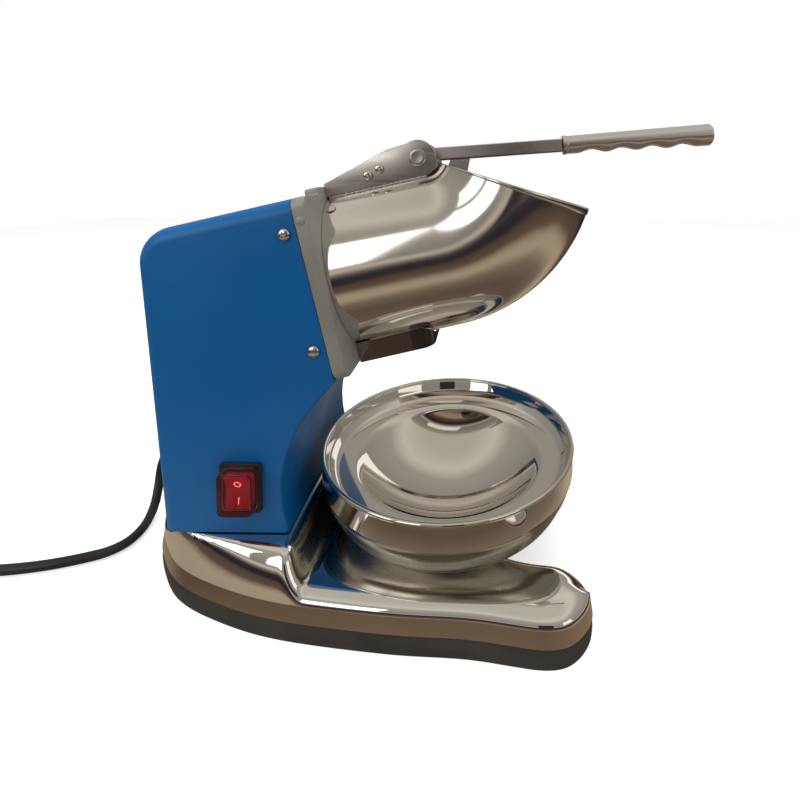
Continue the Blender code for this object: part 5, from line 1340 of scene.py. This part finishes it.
def soft_light(name, place, target, width, height, power, colour):
    """Rectangular soft light that faces a target and isn't seen in the metal."""
    data = bpy.data.lights.new(name, "AREA")
    data.shape = "RECTANGLE"
    data.size = width
    data.size_y = height
    data.energy = power
    data.color = colour
    item = bpy.data.objects.new(name, data)
    facing = (Vector(target) - Vector(place)).to_track_quat("-Z", "Y")
    item.matrix_world = Matrix.Translation(place) @ facing.to_matrix().to_4x4()
    item.visible_glossy = False
    bpy.context.scene.collection.objects.link(item)


def add_window(tree, split, under, azimuth, low, high, half, colour):
    """Upright patch in the room, between two heights and about an azimuth."""
    turned = add_node(tree, "Math", {0: split.outputs["Y"], 1: split.outputs["X"]}, operation="ARCTAN2")
    across = add_node(tree, "Math", {0: turned.outputs[0]}, {1: azimuth, 2: half}, operation="COMPARE")
    upward = add_node(tree, "Math", {0: split.outputs["Z"]}, {1: (low + high) / 2, 2: (high - low) / 2},
                      operation="COMPARE")
    both = add_node(tree, "Math", {0: across.outputs[0], 1: upward.outputs[0]}, operation="MULTIPLY")
    mix = add_node(tree, "Mix", {0: both.outputs[0], 6: under}, {7: (*colour, 1.0)}, data_type="RGBA")
    return mix.outputs[2]


def make_room():
    """Room by height: brown below, dark under the horizon, pale above; the camera sees plain white."""
    world = bpy.data.worlds.new("room")
    bpy.context.scene.world = world
    world.use_nodes = True
    tree = world.node_tree
    place = tree.nodes.new("ShaderNodeTexCoord").outputs["Generated"]
    split = add_node(tree, "SeparateXYZ", {0: place})
    wobble = add_node(tree, "TexNoise", {"Vector": place}, {"Scale": 2.2, "Detail": 3.0})
    height = add_node(tree, "Math", {0: wobble.outputs["Fac"], 2: split.outputs["Z"]}, {1: 0.10},
                      operation="MULTIPLY_ADD")
    share = add_node(tree, "MapRange", {"Value": height.outputs[0]}, {"From Min": -1.0, "From Max": 1.0})
    colour = colour_ramp(tree, share.outputs["Result"], ROOM_COLOURS)
    for window in WINDOWS:
        colour = add_window(tree, split, colour, *window)
    background = tree.nodes["Background"]
    background.inputs["Strength"].default_value = 1.0
    tree.links.new(colour, background.inputs["Color"])
    plain = add_node(tree, "Background", {}, {"Color": (1.0, 1.0, 1.0, 1.0), "Strength": 1.0})
    seen = tree.nodes.new("ShaderNodeLightPath").outputs["Is Camera Ray"]
    mix = add_node(tree, "MixShader", {0: seen, 1: background.outputs[0], 2: plain.outputs[0]})
    tree.links.new(mix.outputs[0], tree.nodes["World Output"].inputs["Surface"])


def make_studio():
    """Pale floor, soft lights and the room they stand in."""
    m = Shades("floor", (0.60, 0.62, 0.66), 0.85, emission_color=(1.0, 1.0, 1.0, 1.0),
               emission_strength=0.62)
    bm = bmesh.new()
    bm.faces.new([bm.verts.new((x, y, FLOOR_HEIGHT)) for x, y in FLOOR])
    mesh = bpy.data.meshes.new("floor")
    bm.to_mesh(mesh)
    bm.free()
    mesh.materials.append(m.material)
    floor = bpy.data.objects.new("floor", mesh)
    bpy.context.scene.collection.objects.link(floor)
    floor.visible_glossy = False
    for name, light in LIGHTS.items():
        soft_light(name, *light)
    make_room()


def make_camera():
    """Camera at the photograph's viewing angle."""
    data = bpy.data.cameras.new("camera")
    data.sensor_width = SENSOR
    data.lens = SENSOR * CAMERA_FOCAL / PICTURE
    data.shift_x = (PICTURE / 2 - CAMERA_CENTRE[0]) / PICTURE
    data.shift_y = (CAMERA_CENTRE[1] - PICTURE / 2) / PICTURE
    data.clip_start = CAMERA_CLIP
    forward = Vector((0.0, math.cos(CAMERA_PITCH), -math.sin(CAMERA_PITCH)))
    right = Vector((1.0, 0.0, 0.0))
    up = right.cross(forward)
    across = math.cos(CAMERA_ROLL) * right + math.sin(CAMERA_ROLL) * up
    upward = -math.sin(CAMERA_ROLL) * right + math.cos(CAMERA_ROLL) * up
    camera = bpy.data.objects.new("camera", data)
    axes = Matrix((across, upward, -forward)).transposed()
    camera.matrix_world = Matrix.Translation(CAMERA_PLACE) @ axes.to_4x4()
    bpy.context.scene.collection.objects.link(camera)
    bpy.context.scene.camera = camera
    bpy.context.scene.view_settings.view_transform = "Standard"


make_camera()
make_cord()
make_base()
make_bowl()
make_housing()
make_front_casting()
make_drum()
make_guard()
make_bracket()
make_lever()
make_screws()
make_switch()
dress_nodes()
make_studio()
